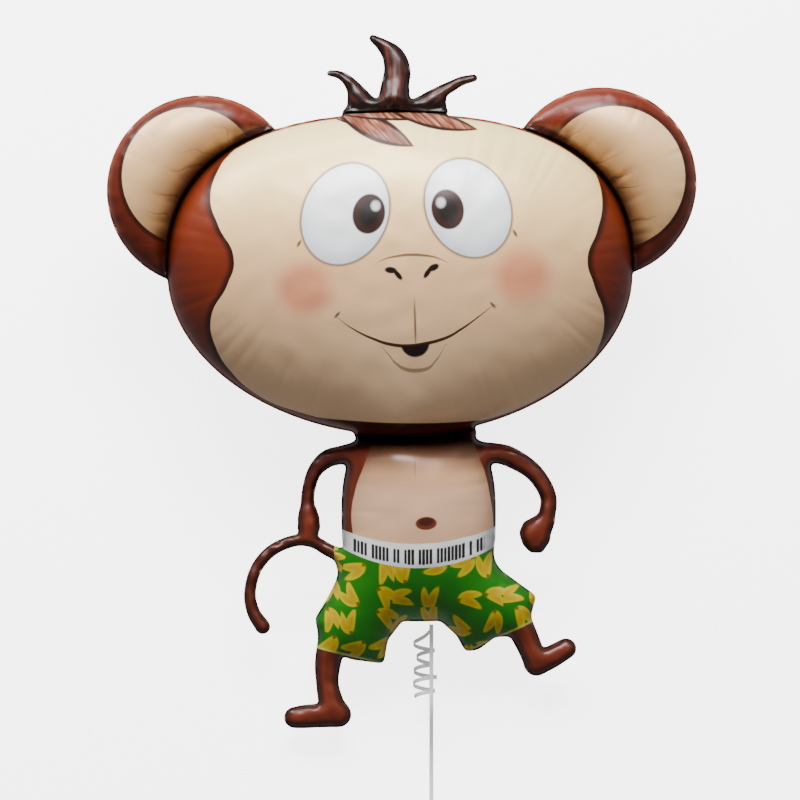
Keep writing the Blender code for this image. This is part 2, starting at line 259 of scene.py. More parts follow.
def even_ring(points: np.ndarray, spacing: float, rounds: int = 3) -> np.ndarray:
    """A closed line, smoothed by means of three neighbours and given points at an even spacing."""
    for _ in range(rounds):
        points = (np.roll(points, 1, 0) + 2 * points + np.roll(points, -1, 0)) / 4
    closed = np.vstack([points, points[:1]])
    along = distance_along(closed)
    count = max(int(round(along[-1] / spacing)), 8)
    at = np.linspace(0, along[-1], count, endpoint=False)
    return np.column_stack([np.interp(at, along, closed[:, 0]), np.interp(at, along, closed[:, 1])])


def even_line(points: np.ndarray, spacing: float) -> np.ndarray:
    """An open line with points at an even spacing, its two ends kept."""
    along = distance_along(points)
    at = np.linspace(0, along[-1], max(int(round(along[-1] / spacing)), 2) + 1)
    return np.column_stack([np.interp(at, along, points[:, axis]) for axis in range(points.shape[1])])


def smooth_line(points: np.ndarray, count: int) -> np.ndarray:
    """Catmull-Rom line through points of any dimension: a cubic between each two, with their neighbours.

    Args:
        points: the points that the line goes through.
        count: how many points to give for each stretch.

    Returns:
        The points of the line.
    """
    ends = np.vstack([2 * points[0] - points[1], points, 2 * points[-1] - points[-2]])
    t = np.linspace(0, 1, count, endpoint=False)[None, :, None]
    a, b, c, d = (ends[i : len(ends) - 3 + i, None, :] for i in range(4))
    line = b + 0.5 * t * (c - a + t * (2 * a - 5 * b + 4 * c - d) + t * t * (3 * b - a - 3 * c + d))
    return np.vstack([line.reshape(-1, points.shape[1]), points[-1:]])


def soft_max(a: np.ndarray, b: np.ndarray, reach: float) -> np.ndarray:
    """The larger of two numbers, with the change from one to the other rounded over a reach."""
    share = np.clip(0.5 + 0.5 * (a - b) / reach, 0, 1)
    return b + (a - b) * share + reach * share * (1 - share)


@dataclass(frozen=True)
class Oval:
    """A superellipse: |x/a| to a power plus |y/b| to that power is 1."""

    middle: Point
    half: Point
    bottom: float = 0.0
    powers: Point = (2.0, 2.0)

    def halves(self, up: np.ndarray) -> tuple[np.ndarray, np.ndarray]:
        """The height and the power of the upper half or the lower one, whichever a place is in."""
        return (np.where(up > 0, self.half[1], self.bottom or self.half[1]),
                np.where(up > 0, self.powers[0], self.powers[1]))

    def depth(self, raster: Raster) -> np.ndarray:
        """How far each cell is inside, to first order: the level's shortfall from 1 over its slope."""
        x, y = raster.places()
        across, up = (x - self.middle[0]) / self.half[0], y - self.middle[1]
        tall, power = self.halves(up)
        level = (np.abs(across) ** power + np.abs(up / tall) ** power) ** (1 / power)
        slope_y, slope_x = np.gradient(level, raster.cell)
        return (1 - level) / np.maximum(np.hypot(slope_x, slope_y), 0.5)

    def rim(self, count: int) -> np.ndarray:
        """Points of the outline at even angles."""
        angle = np.linspace(0, TURN, count, endpoint=False)
        across, up = np.cos(angle), np.sin(angle)
        tall, power = self.halves(up)
        far = (np.abs(across / self.half[0]) ** power + np.abs(up / tall) ** power) ** (-1 / power)
        return np.column_stack([self.middle[0] + far * across, self.middle[1] + far * up])


@dataclass(frozen=True)
class Tube:
    """A limb: discs along a smooth line, with a radius at each of its points."""

    points: tuple[Point, ...]
    radii: tuple[float, ...]

    def depth(self, raster: Raster) -> np.ndarray:
        """How far each cell is inside: the most that any disc's radius exceeds its distance."""
        discs = smooth_line(np.column_stack([self.points, self.radii]), 9)
        depth = np.full(raster.size[::-1], -1.0)
        window = raster.window(discs[:, :2].min(0), discs[:, :2].max(0), 0.06)
        x, y = (values[window] for values in raster.places())
        best = np.full(x.shape, -1.0)
        for across, up, radius in discs:
            best = np.maximum(best, radius - np.hypot(x - across, y - up))
        depth[window] = best
        return depth


@dataclass(frozen=True)
class Panel:
    """A closed outline with straight sides, its corners rounded by rounds of averaging."""

    points: tuple[Point, ...]
    rounding: int = 10

    def depth(self, raster: Raster) -> np.ndarray:
        """How far each cell is inside: its distance to the sides, counted as negative outside."""
        corners = np.array(self.points)
        depth = np.full(raster.size[::-1], -1.0)
        window = raster.window(corners.min(0), corners.max(0), 0.06)
        x, y = (values[window] for values in raster.places())
        nearest = np.full(x.shape, 1.0)
        inside = np.zeros(x.shape, bool)
        for (ax, ay), (bx, by) in zip(corners, np.roll(corners, -1, 0)):
            dx, dy = bx - ax, by - ay
            share = np.clip(((x - ax) * dx + (y - ay) * dy) / (dx * dx + dy * dy), 0, 1)
            nearest = np.minimum(nearest, np.hypot(x - ax - share * dx, y - ay - share * dy))
            if ay != by:
                inside ^= ((ay > y) != (by > y)) & (x < dx * (y - ay) / dy + ax)
        signed = np.where(inside, nearest, -nearest)
        for _ in range(self.rounding):
            signed[1:-1, 1:-1] = neighbour_mean(signed)[1:-1, 1:-1]
        depth[window] = signed
        return depth


@dataclass(frozen=True)
class Silhouette:
    """The flat outline of the welded film, from simple outlines in metres from the head's middle."""

    head: Oval = Oval((0.0, 0.0), (0.349, 0.242), 0.241, (2.45, 1.93))
    ears: tuple[Oval, ...] = (Oval((0.302, 0.139), (0.143, 0.143)), Oval((-0.297, 0.127), (0.143, 0.143)))
    hair: tuple[Panel | Tube, ...] = (
        Panel(spots((377.2, 40.8), (379.9, 37.4), (380.3, 30.8), (388, 34.4), (408, 34.6), (421.2, 32.6),
                    (421.3, 37.5), (422.4, 40.4), (410, 43), (388, 43)), 2),
        Tube(((-0.0504, 0.2592), (-0.0659, 0.2772), (-0.0806, 0.2941), (-0.0936, 0.3013),
              (-0.1056, 0.3029)), (0.0130, 0.0115, 0.0080, 0.0058, 0.0046)),
        Tube(((-0.010, 0.250), (-0.007, 0.2855), (-0.004, 0.307), (-0.0097, 0.328), (-0.0235, 0.343),
              (-0.0410, 0.3555)), (0.026, 0.021, 0.020, 0.0165, 0.0105, 0.0055)),
        Tube(((0.0324, 0.2574), (0.054, 0.2707), (0.0756, 0.2826), (0.0936, 0.2916), (0.1110, 0.2958)),
             (0.0120, 0.0105, 0.0085, 0.0070, 0.0056)),
    )
    trunk: tuple[Oval | Panel, ...] = (
        Oval((0.023, -0.236), (0.092, 0.030)),
        Oval((0.028, -0.360), (0.116, 0.142), 0.0, (2.7, 2.7)),
        Oval((0.030, -0.462), (0.124, 0.0575), 0.0, (2.4, 2.4)),
        Panel((
            (0.036, -0.475), (-0.007, -0.418), (-0.102, -0.412), (-0.092, -0.450), (-0.110, -0.486),
            (-0.128, -0.515), (-0.118, -0.560), (-0.072, -0.577), (-0.024, -0.583), (-0.018, -0.547),
            (0, -0.524),
        )),
        Panel((
            (0.022, -0.475), (0.072, -0.418), (0.138, -0.412), (0.146, -0.438), (0.205, -0.481),
            (0.193, -0.523), (0.172, -0.542), (0.143, -0.543), (0.118, -0.562), (0.098, -0.565),
            (0.085, -0.541), (0.063, -0.521),
        )),
    )
    arms: tuple[Tube, ...] = (
        Tube(((-0.060, -0.262), (-0.086, -0.269), (-0.110, -0.276), (-0.129, -0.296), (-0.138, -0.328),
              (-0.138, -0.360)), (0.014, 0.014, 0.0135, 0.0108, 0.010, 0.011)),
        Tube(((0.114, -0.264), (0.138, -0.266), (0.166, -0.273), (0.201, -0.296), (0.222, -0.331),
              (0.220, -0.366)), (0.014, 0.015, 0.0155, 0.0135, 0.0125, 0.013)),
    )
    limbs: tuple[Oval | Tube | Panel, ...] = (
        Panel(spots((360.9, 205.5), (359.6, 209.0), (359.2, 213.2), (360.0, 217.0), (363.6, 218.6),
                    (367.6, 217.0), (368.9, 213.2), (368.4, 209.0), (366.6, 205.5)), 3),
        Panel(spots((451.5, 215.2), (453.4, 210.8), (457.5, 208.6), (463.4, 208.2), (465.4, 213.6),
                    (464.4, 219.2), (461.2, 223.8), (456.2, 223.6), (453.0, 220.2)), 4),
        Tube(((-0.100, -0.540), (-0.108, -0.580), (-0.109, -0.612), (-0.104, -0.638), (-0.098, -0.654)),
             (0.022, 0.0198, 0.0170, 0.0186, 0.0190)),
        Tube(((-0.092, -0.659), (-0.122, -0.6605), (-0.143, -0.662), (-0.158, -0.6635)),
             (0.0190, 0.0180, 0.0176, 0.0160)),
        Tube(((0.172, -0.510), (0.192, -0.552), (0.203, -0.580)), (0.022, 0.019, 0.017)),
        Tube(((0.205, -0.583), (0.228, -0.572), (0.249, -0.560)), (0.0182, 0.0172, 0.0155)),
        Tube(((-0.080, -0.424), (-0.106, -0.413), (-0.130, -0.400), (-0.157, -0.398), (-0.191, -0.412),
              (-0.215, -0.439), (-0.225, -0.475), (-0.220, -0.505), (-0.206, -0.527)),
             (0.011, 0.010, 0.0095, 0.009, 0.009, 0.009, 0.009, 0.010, 0.0115)),
    )
    joint_reach: float = 0.005
    armpit_reach: float = 0.011

    def depth(self, raster: Raster) -> np.ndarray:
        """How far each cell is inside the whole outline, about."""
        depth = self.head.depth(raster)
        for shape in self.hair + self.trunk + self.limbs:
            depth = soft_max(depth, shape.depth(raster), self.joint_reach)
        for arm in self.arms:
            depth = soft_max(depth, arm.depth(raster), self.armpit_reach)
        for ear in self.ears:
            depth = np.maximum(depth, ear.depth(raster))
        return depth

    def inner_welds(self) -> list[np.ndarray]:
        """Lines where the films are welded inside the outline: ears, hair and neck against the head."""
        rim = self.head.rim(4000)
        lines = []
        for ear in self.ears:
            away = np.linalg.norm(rim - np.array(ear.middle), axis=1)
            inside = np.flatnonzero(away < ear.half[0])
            if inside[0] == 0 and inside[-1] == len(rim) - 1:
                gap = np.flatnonzero(np.diff(inside) > 1)[0] + 1
                inside = np.concatenate([inside[gap:], inside[:gap]])
            lines.append(rim[inside])
        hair_x = np.linspace(-0.088, 0.070, 60)
        lines.append(np.column_stack([hair_x, 0.2445 - 0.35 * (hair_x + 0.009) ** 2]))
        neck = rim[(rim[:, 1] < 0) & (rim[:, 0] > -0.066) & (rim[:, 0] < 0.111)]
        lines.append(neck[np.argsort(neck[:, 0])] - np.array([0, 0.004]))
        return lines


def nearest_marks(raster: Raster, marks: np.ndarray) -> np.ndarray:
    """For each cell the nearest mark, found by jump flooding: cells pass on the mark that they know.

    Args:
        raster: the raster.
        marks: points closely spaced along the lines of interest.

    Returns:
        An index into marks for each cell.
    """
    x, y = raster.places()
    known = np.full(x.shape, -1)
    at = np.round((marks - np.array(raster.low)) / raster.cell).astype(int)
    known[at[:, 1], at[:, 0]] = np.arange(len(marks))

    def away(index: np.ndarray) -> np.ndarray:
        """Squared distance to the mark of an index, and far for none."""
        mark = marks[index]
        return np.where(index < 0, FAR_SQUARED, (mark[..., 0] - x) ** 2 + (mark[..., 1] - y) ** 2)

    best = away(known)
    for step in (256, 128, 64, 32, 16, 8, 4, 2, 1, 1):
        for down in (-step, 0, step):
            for across in (-step, 0, step):
                passed = np.full(x.shape, -1)
                rows = slice(max(down, 0), x.shape[0] + min(down, 0))
                columns = slice(max(across, 0), x.shape[1] + min(across, 0))
                from_rows = slice(max(-down, 0), x.shape[0] + min(-down, 0))
                from_columns = slice(max(-across, 0), x.shape[1] + min(-across, 0))
                passed[rows, columns] = known[from_rows, from_columns]
                far = away(passed)
                closer = far < best
                known[closer] = passed[closer]
                best[closer] = far[closer]
    return known


def neighbour_mean(values: np.ndarray) -> np.ndarray:
    """Mean of the four cells beside each cell."""
    mean = np.zeros_like(values)
    mean[1:-1, 1:-1] = (values[:-2, 1:-1] + values[2:, 1:-1] + values[1:-1, :-2] + values[1:-1, 2:]) / 4
    return mean


def inflate(free: np.ndarray, cell: float, rounds: Sequence[tuple[int, int]]) -> np.ndarray:
    """Solution of Poisson's equation with a constant source, nothing where the film is held.

    Each cell goes to the mean of its neighbours plus a quarter of its area. It starts on a coarse raster
    and goes on to finer ones.

    Args:
        free: where the film is free to rise.
        cell: the raster's cell.
        rounds: pairs of a coarseness, in cells, and a number of rounds there.

    Returns:
        The solution, in square metres.
    """
    height = np.zeros(free[:: rounds[0][0], :: rounds[0][0]].shape)
    for coarse, count in rounds:
        here = free[::coarse, ::coarse]
        factor = here.shape[0] // height.shape[0]
        height = np.where(here, height.repeat(factor, 0).repeat(factor, 1), 0.0)
        source = (cell * coarse) ** 2 / 4
        for _ in range(count):
            height = np.where(here, neighbour_mean(height) + source, 0.0)
    return height


def spread(values: np.ndarray, known: np.ndarray, rounds: int) -> np.ndarray:
    """Values carried outwards from where they are known, each cell the mean of its known neighbours."""
    weight = known.astype(float)
    result = np.where(known, values, 0.0)
    for _ in range(rounds):
        around = neighbour_mean(weight)
        mean = neighbour_mean(result * weight) / np.maximum(around, 1e-9)
        result = np.where(known, values, np.where(around > 0, mean, result))
        weight = np.where(known | (around > 0), 1.0, 0.0)
    return result


def band_noise(raster: Raster, wavelength: float, seed: int) -> np.ndarray:
    """Even noise whose waves are near one length: white noise with the other waves taken out."""
    white = np.random.default_rng(seed).normal(size=raster.size[::-1])
    rows = np.fft.fftfreq(raster.size[1], raster.cell)[:, None]
    columns = np.fft.fftfreq(raster.size[0], raster.cell)[None, :]
    ratio = np.hypot(rows, columns) * wavelength
    smooth = np.real(np.fft.ifft2(np.fft.fft2(white) * np.exp(-((ratio - 1) ** 2) / 0.3)))
    return smooth / smooth.std()


@dataclass
class BalloonSkin:
    """The two films, blown up: one closed skin with its flat weld, puckers and slack."""

    posture: Posture
    outline: Silhouette = field(default_factory=Silhouette)
    raster: Raster = field(default_factory=Raster)
    weld_width: float = 0.0026
    film: float = 0.00025
    spacing: float = 0.0030
    inner_spacing: float = 0.0043
    ring_offsets: tuple[float, ...] = (0.0005, 0.0016, 0.0034, 0.0060, 0.0095)
    pucker_share: float = 0.06
    pucker_reach: float = 0.034
    fold_gain: float = 3.0
    fold_reach: float = 0.052
    slack: float = 0.00026
    weld_ripple: float = 0.0014
    press: float = 0.0012
    neck_line: float = -0.246
    mark_spacing: float = 0.0004
    pucker_seed: int = 11
    wave_length: float = 0.055
    ripple_length: float = 0.028
    ripple_reach: float = 0.010
    steep_slope: float = 0.45
    inflation_rounds: tuple[tuple[int, int], ...] = ((8, 900), (4, 300), (2, 200), (1, 160))
    sure_from: float = 0.0042
    thin_from: float = 0.0024
    smooth_to: float = 0.004
    deep_from: float = 0.02
    least_gap: float = 0.0009
    low: Point = (-0.46, -0.70)
    high: Point = (0.46, 0.38)

    def lines(self) -> None:
        """Outline, weld and inner weld lines, and every cell's distance from them."""
        depth = self.outline.depth(self.raster)
        rings = [ring for ring in self.raster.contours(depth, 0.0) if len(ring) > 60]
        fine = [even_ring(ring, self.mark_spacing) for ring in rings]
        marks = np.vstack(fine)
        nearest = nearest_marks(self.raster, marks)
        x, y = self.raster.places()
        away = np.hypot(marks[nearest][..., 0] - x, marks[nearest][..., 1] - y)
        self.edge_distance = np.where(depth > 0, away, -away)
        self.rim_rings = [even_ring(ring, self.spacing, 0) for ring in fine]
        welds = self.raster.contours(self.edge_distance, self.weld_width)
        welds = [ring for ring in welds if len(ring) > 30]
        self.weld_rings = [even_ring(ring, self.spacing) for ring in welds]
        fine_welds = [even_ring(ring, self.mark_spacing) for ring in welds]
        self.inner_lines = [
            self.inside_part(even_line(line, self.spacing)) for line in self.outline.inner_welds()]
        fine_inner = [even_line(line, self.mark_spacing) for line in self.inner_lines]
        self.marks = np.vstack(fine_welds + fine_inner)
        self.inner_from = sum(map(len, fine_welds))
        self.nearest = nearest_marks(self.raster, self.marks)
        near = self.marks[self.nearest]
        self.weld_distance = np.hypot(near[..., 0] - x, near[..., 1] - y)
        inner = np.vstack(fine_inner)
        near = inner[nearest_marks(self.raster, inner)]
        self.crease_distance = np.hypot(near[..., 0] - x, near[..., 1] - y)

    def inside_part(self, line: np.ndarray) -> np.ndarray:
        """The stretch of an inner line that is inside the weld."""
        return line[self.raster.read(self.edge_distance, line) > self.weld_width * 0.6]

    def pucker_table(self) -> np.ndarray:
        """How deep the pucker is at each mark: bell-shaped dips at uneven places along the weld."""
        random = np.random.default_rng(self.pucker_seed)
        along = distance_along(self.marks)
        places = np.cumsum(random.uniform(0.013, 0.036, int(along[-1] / 0.0245)))
        widths = random.uniform(0.0022, 0.0050, len(places))
        depths = random.uniform(0.25, 1.0, len(places)) ** 1.5
        table = np.zeros(len(along))
        for place, width, deep in zip(places, widths, depths):
            first, last = np.searchsorted(along, (place - 4 * width, place + 4 * width))
            table[first:last] += deep * np.exp(-(((along[first:last] - place) / width) ** 2))
        return np.minimum(table, 1.2)

    def blow_up(self) -> None:
        """Work out the steepness: the solution of Poisson's equation over the distance from the weld.

        Close to the weld the raster is too coarse for it, so it is carried there from farther in, or in a
        thin limb from as far in as there is.
        """
        free = (self.edge_distance > self.weld_width) & (self.crease_distance > 0.75 * self.raster.cell)
        height = inflate(free, self.raster.cell, self.inflation_rounds)
        known = free & (self.weld_distance > self.sure_from)
        thin = free & (self.weld_distance > self.thin_from) & ~(spread(known.astype(float), known, 4) > 0)
        self.steepness = spread(height / np.maximum(self.weld_distance, 1e-4), known | thin, 9)
        for _ in range(2):
            smooth = neighbour_mean(self.steepness)
            self.steepness = np.where(self.weld_distance < self.smooth_to, smooth, self.steepness)

    def thickness(self, points: np.ndarray, distance: np.ndarray) -> np.ndarray:
        """Half thickness at points: the root of their distance from the weld times the steepness."""
        return np.sqrt(np.maximum(self.raster.read(self.steepness, points) * distance, 0))

    def scales(self) -> None:
        """Fullness of the head and of the rest, so that each just presses on the floor."""
        _, y = self.raster.places()
        root = np.sqrt(np.maximum(self.steepness * self.weld_distance, 0))
        inside = (self.edge_distance > self.deep_from) & (root > self.deep_from)
        height = self.posture.shift[2] + y * math.sin(self.posture.angle) + self.press
        ratio = np.where(inside, height / np.maximum(root * math.cos(self.posture.angle), 1e-6), 9)
        self.head_fullness = float(ratio[y > self.neck_line].min())
        self.trunk_fullness = float(ratio[y < self.neck_line].min())
        log.info("fullness: head %.3f, trunk %.3f", self.head_fullness, self.trunk_fullness)

    def fullness(self, y: np.ndarray) -> np.ndarray:
        """Fullness at heights on the print: the head's above the neck and the trunk's below it."""
        share = np.clip((y - self.neck_line) / 0.002, 0, 1)
        return self.trunk_fullness + (self.head_fullness - self.trunk_fullness) * share

    def plan(self) -> None:
        """Points of the flat plan: rim, weld, inner welds, rings beside them, and a grid in the middle."""
        groups, distances = [np.vstack(self.rim_rings)], [np.zeros(sum(map(len, self.rim_rings)))]
        half_way = [ring + self.inward(ring) * self.weld_width * 0.5 for ring in self.rim_rings]
        groups.append(np.vstack(half_way))
        groups.append(np.vstack(self.weld_rings))
        groups.append(np.vstack(self.inner_lines))
        distances += [np.zeros(len(group)) for group in groups[1:]]
        for offset in self.ring_offsets:
            beside = [ring + self.inward(ring) * offset for ring in self.weld_rings]
            for line in self.inner_lines:
                side = np.gradient(line, axis=0)
                side = unit(np.column_stack([-side[:, 1], side[:, 0]]))
                beside += [line + side * offset, line - side * offset]
            ring = np.vstack(beside)
            measured = self.raster.read(self.weld_distance, ring)
            inside = self.raster.read(self.edge_distance, ring) > self.weld_width + 0.7 * offset
            keep = inside & (measured > 0.72 * offset - 0.0001)
            groups.append(ring[keep])
            distances.append(np.minimum(offset, np.maximum(measured[keep], 0.5 * offset)))
        step = self.inner_spacing
        columns = np.arange(self.low[0], self.high[0], step)
        rows = np.arange(self.low[1], self.high[1], step * math.sqrt(0.75))
        x, y = np.meshgrid(columns, rows)
        x = x + step / 2 * (np.arange(len(rows)) % 2)[:, None]
        middle = np.column_stack([x.ravel(), y.ravel()])
        measured = self.raster.read(self.weld_distance, middle)
        inside = self.raster.read(self.edge_distance, middle) > self.weld_width + self.ring_offsets[-1]
        keep = inside & (measured > self.ring_offsets[-1] + 0.0016)
        groups.append(middle[keep])
        distances.append(measured[keep])
        points, distance = np.vstack(groups), np.concatenate(distances)
        fixed = len(groups[0]) + len(groups[1]) + len(groups[2]) + len(groups[3])
        crowded = np.round(points[fixed:] / self.least_gap).astype(int)
        _, first = np.unique(crowded, axis=0, return_index=True)
        kept = np.concatenate([np.arange(fixed), fixed + np.sort(first)])
        self.points, self.distance = points[kept], distance[kept]
        self.borders = np.cumsum([len(group) for group in groups[:4]])
        self.rim_count, self.flat_count = int(self.borders[0]), int(self.borders[3])

    @staticmethod
    def inward(ring: np.ndarray) -> np.ndarray:
        """Unit directions to the left of a closed line, which is its inside."""
        along = unit(np.roll(ring, -1, 0) - np.roll(ring, 1, 0))
        return np.column_stack([-along[:, 1], along[:, 0]])

    def triangles(self) -> np.ndarray:
        """Delaunay triangles of the plan, inside the rim.

        A rim line has the film on its left, so three corners on it, taken in its order, turn left over the
        film and right over a hole.
        """
        edges = []
        for rings, first in ((self.rim_rings, 0), (self.weld_rings, int(self.borders[1]))):
            for ring in rings:
                index = first + np.arange(len(ring))
                edges.append(np.column_stack([index, np.roll(index, -1)]))
                first += len(ring)
        given = [Vector(point) for point in self.points.tolist()]
        _, _, faces, sources, _, _ = delaunay_2d_cdt(given, np.vstack(edges).tolist(), [], 1, 1e-7)
        back = np.array([source[0] if source else -1 for source in sources])
        faces = back[np.array(faces)]
        a, b, c = (self.points[corner] for corner in np.sort(faces, axis=1).T)
        turn = (b[:, 0] - a[:, 0]) * (c[:, 1] - a[:, 1]) - (b[:, 1] - a[:, 1]) * (c[:, 0] - a[:, 0])
        return faces[(faces.max(1) >= self.rim_count) | (turn > 0)]

    def relief(self) -> tuple[np.ndarray, np.ndarray]:
        """Depth of the puckers and folds over the raster, as a share, and how near each cell is to them."""
        _, y = self.raster.places()
        root = np.sqrt(np.maximum(self.steepness * self.weld_distance, 0))
        root = root * (self.edge_distance > self.weld_width)
        slope_y, slope_x = np.gradient(root * self.fullness(y), self.raster.cell)
        steep = 1 - np.exp(-((np.hypot(slope_x, slope_y) / self.steep_slope) ** 2))
        beyond = self.outline.head.depth(self.raster) < 0
        folds = (self.nearest >= self.inner_from) & beyond & (y > 0)
        fade = np.exp(-self.weld_distance / np.where(folds, self.fold_reach, self.pucker_reach))
        dips = self.pucker_table()[self.nearest] * steep * fade * np.where(folds, self.fold_gain, 1.0)
        for _ in range(3):
            dips = (dips + neighbour_mean(dips)) / 2
        return dips, fade

    def sheets(self) -> np.ndarray:
        """The front film's points and then the back film's, without the rim that they share."""
        points = self.points
        half = self.fullness(points[:, 1]) * self.thickness(points, self.distance)
        dips, fade = self.relief()
        half = half * (1 - self.pucker_share * self.raster.read(dips, points))
        swell = self.slack * np.clip(half / 0.03, 0, 1)
        waves = band_noise(self.raster, self.wave_length, 3) * (1 - 0.6 * fade)
        wave_front = swell * self.raster.read(waves, points)
        wave_back = swell * self.raster.read(band_noise(self.raster, self.wave_length, 4), points)
        ripple = band_noise(self.raster, self.ripple_length, 5)
        ripple = ripple * np.exp(-np.abs(self.edge_distance) / self.ripple_reach)
        middle = self.weld_ripple * self.raster.read(ripple, points)
        half[self.rim_count : self.flat_count] = self.film
        half = np.maximum(half, self.film)
        half[: self.rim_count] = 0
        front = np.column_stack([points, middle + half + wave_front])
        back = np.column_stack([points, middle - half - wave_back])
        return np.vstack([front, back[self.rim_count :]])

    def mark_sharp(self, mesh: bpy.types.Mesh) -> None:
        """Mark the edges along the rim, the weld and the inner welds as sharp."""
        count = len(self.points)
        ends = np.empty(2 * len(mesh.edges), int)
        mesh.edges.foreach_get("vertices", ends)
        ends = np.where(ends < count, ends, ends - count + self.rim_count)
        kind = np.digitize(ends, self.borders).reshape(-1, 2)
        sharp = (kind[:, 0] == kind[:, 1]) & np.isin(kind[:, 0], (0, 2, 3))
        mesh.attributes.new("sharp_edge", "BOOLEAN", "EDGE").data.foreach_set("value", sharp)

    def build(self) -> bpy.types.Object:
        """The skin's object.

        Returns:
            The object, with a vector attribute of the place on the print, and three of distances: from the
            edge, from the inner welds, and into the head's outline.
        """
        self.lines()
        self.blow_up()
        self.scales()
        self.plan()
        faces, flat, points = self.triangles(), self.sheets(), self.points
        world = self.posture.to_world(flat)
        world[:, 2] = np.maximum(world[:, 2], 0.0)
        other = np.where(faces < self.rim_count, faces, faces + len(points) - self.rim_count)
        piece = link_mesh("balloon_skin", world, np.vstack([faces, other[:, ::-1]]).tolist())
        mesh = piece.data
        self.mark_sharp(mesh)
        write_values(mesh, "print_at", "FLOAT_VECTOR", flat)
        distances = {
            "from_edge": self.edge_distance,
            "from_crease": self.crease_distance,
            "inside_head": self.outline.head.depth(self.raster),
        }
        for name, values in distances.items():
            read = self.raster.read(values, points)
            write_values(mesh, name, "FLOAT", np.concatenate([read, read[self.rim_count :]]))
        mesh.update()
        log.info("balloon_skin: %d triangles", len(mesh.polygons))
        return piece


class Node(Enum):
    """The kinds of shader node that the finishes use."""

    MATH = "ShaderNodeMath"
    RANGE = "ShaderNodeMapRange"
    MIX = "ShaderNodeMix"
    CURVE = "ShaderNodeFloatCurve"
    ATTRIBUTE = "ShaderNodeAttribute"
    SEPARATE = "ShaderNodeSeparateXYZ"
    COMBINE = "ShaderNodeCombineXYZ"
    COORDINATES = "ShaderNodeTexCoord"
    NOISE = "ShaderNodeTexNoise"
    VORONOI = "ShaderNodeTexVoronoi"
    WHITE = "ShaderNodeTexWhiteNoise"
    BUMP = "ShaderNodeBump"
    RAMP = "ShaderNodeValToRGB"


@dataclass
class Sum:
    """A number on a surface, as a node's output, that can be reckoned with."""

    desk: "Desk"
    socket: bpy.types.NodeSocket

    def __add__(self, other: "Sum | float") -> "Sum":
        """This plus another."""
        return self.desk.math("ADD", self, other)

    def __sub__(self, other: "Sum | float") -> "Sum":
        """This less another."""
        return self.desk.math("SUBTRACT", self, other)

    def __rsub__(self, other: float) -> "Sum":
        """A number less this."""
        return self.desk.math("SUBTRACT", other, self)

    def __mul__(self, other: "Sum | float") -> "Sum":
        """This times another."""
        return self.desk.math("MULTIPLY", self, other)

    def __truediv__(self, other: "Sum | float") -> "Sum":
        """This over another."""
        return self.desk.math("DIVIDE", self, other)

    __radd__ = __add__
    __rmul__ = __mul__

    def absolute(self) -> "Sum":
        """Its size without a sign."""
        return self.desk.math("ABSOLUTE", self)

    def most(self, other: "Sum | float") -> "Sum":
        """The larger of this and another."""
        return self.desk.math("MAXIMUM", self, other)

    def above(self, edge: "Sum | float", soft: float) -> "Sum":
        """1 where this is over an edge and 0 where it is under, with a soft change."""
        return self.desk.step(self - edge, soft)

    def below(self, edge: "Sum | float", soft: float) -> "Sum":
        """1 where this is under an edge and 0 where it is over, with a soft change."""
        return self.desk.step(self.desk.math("SUBTRACT", edge, self), soft)


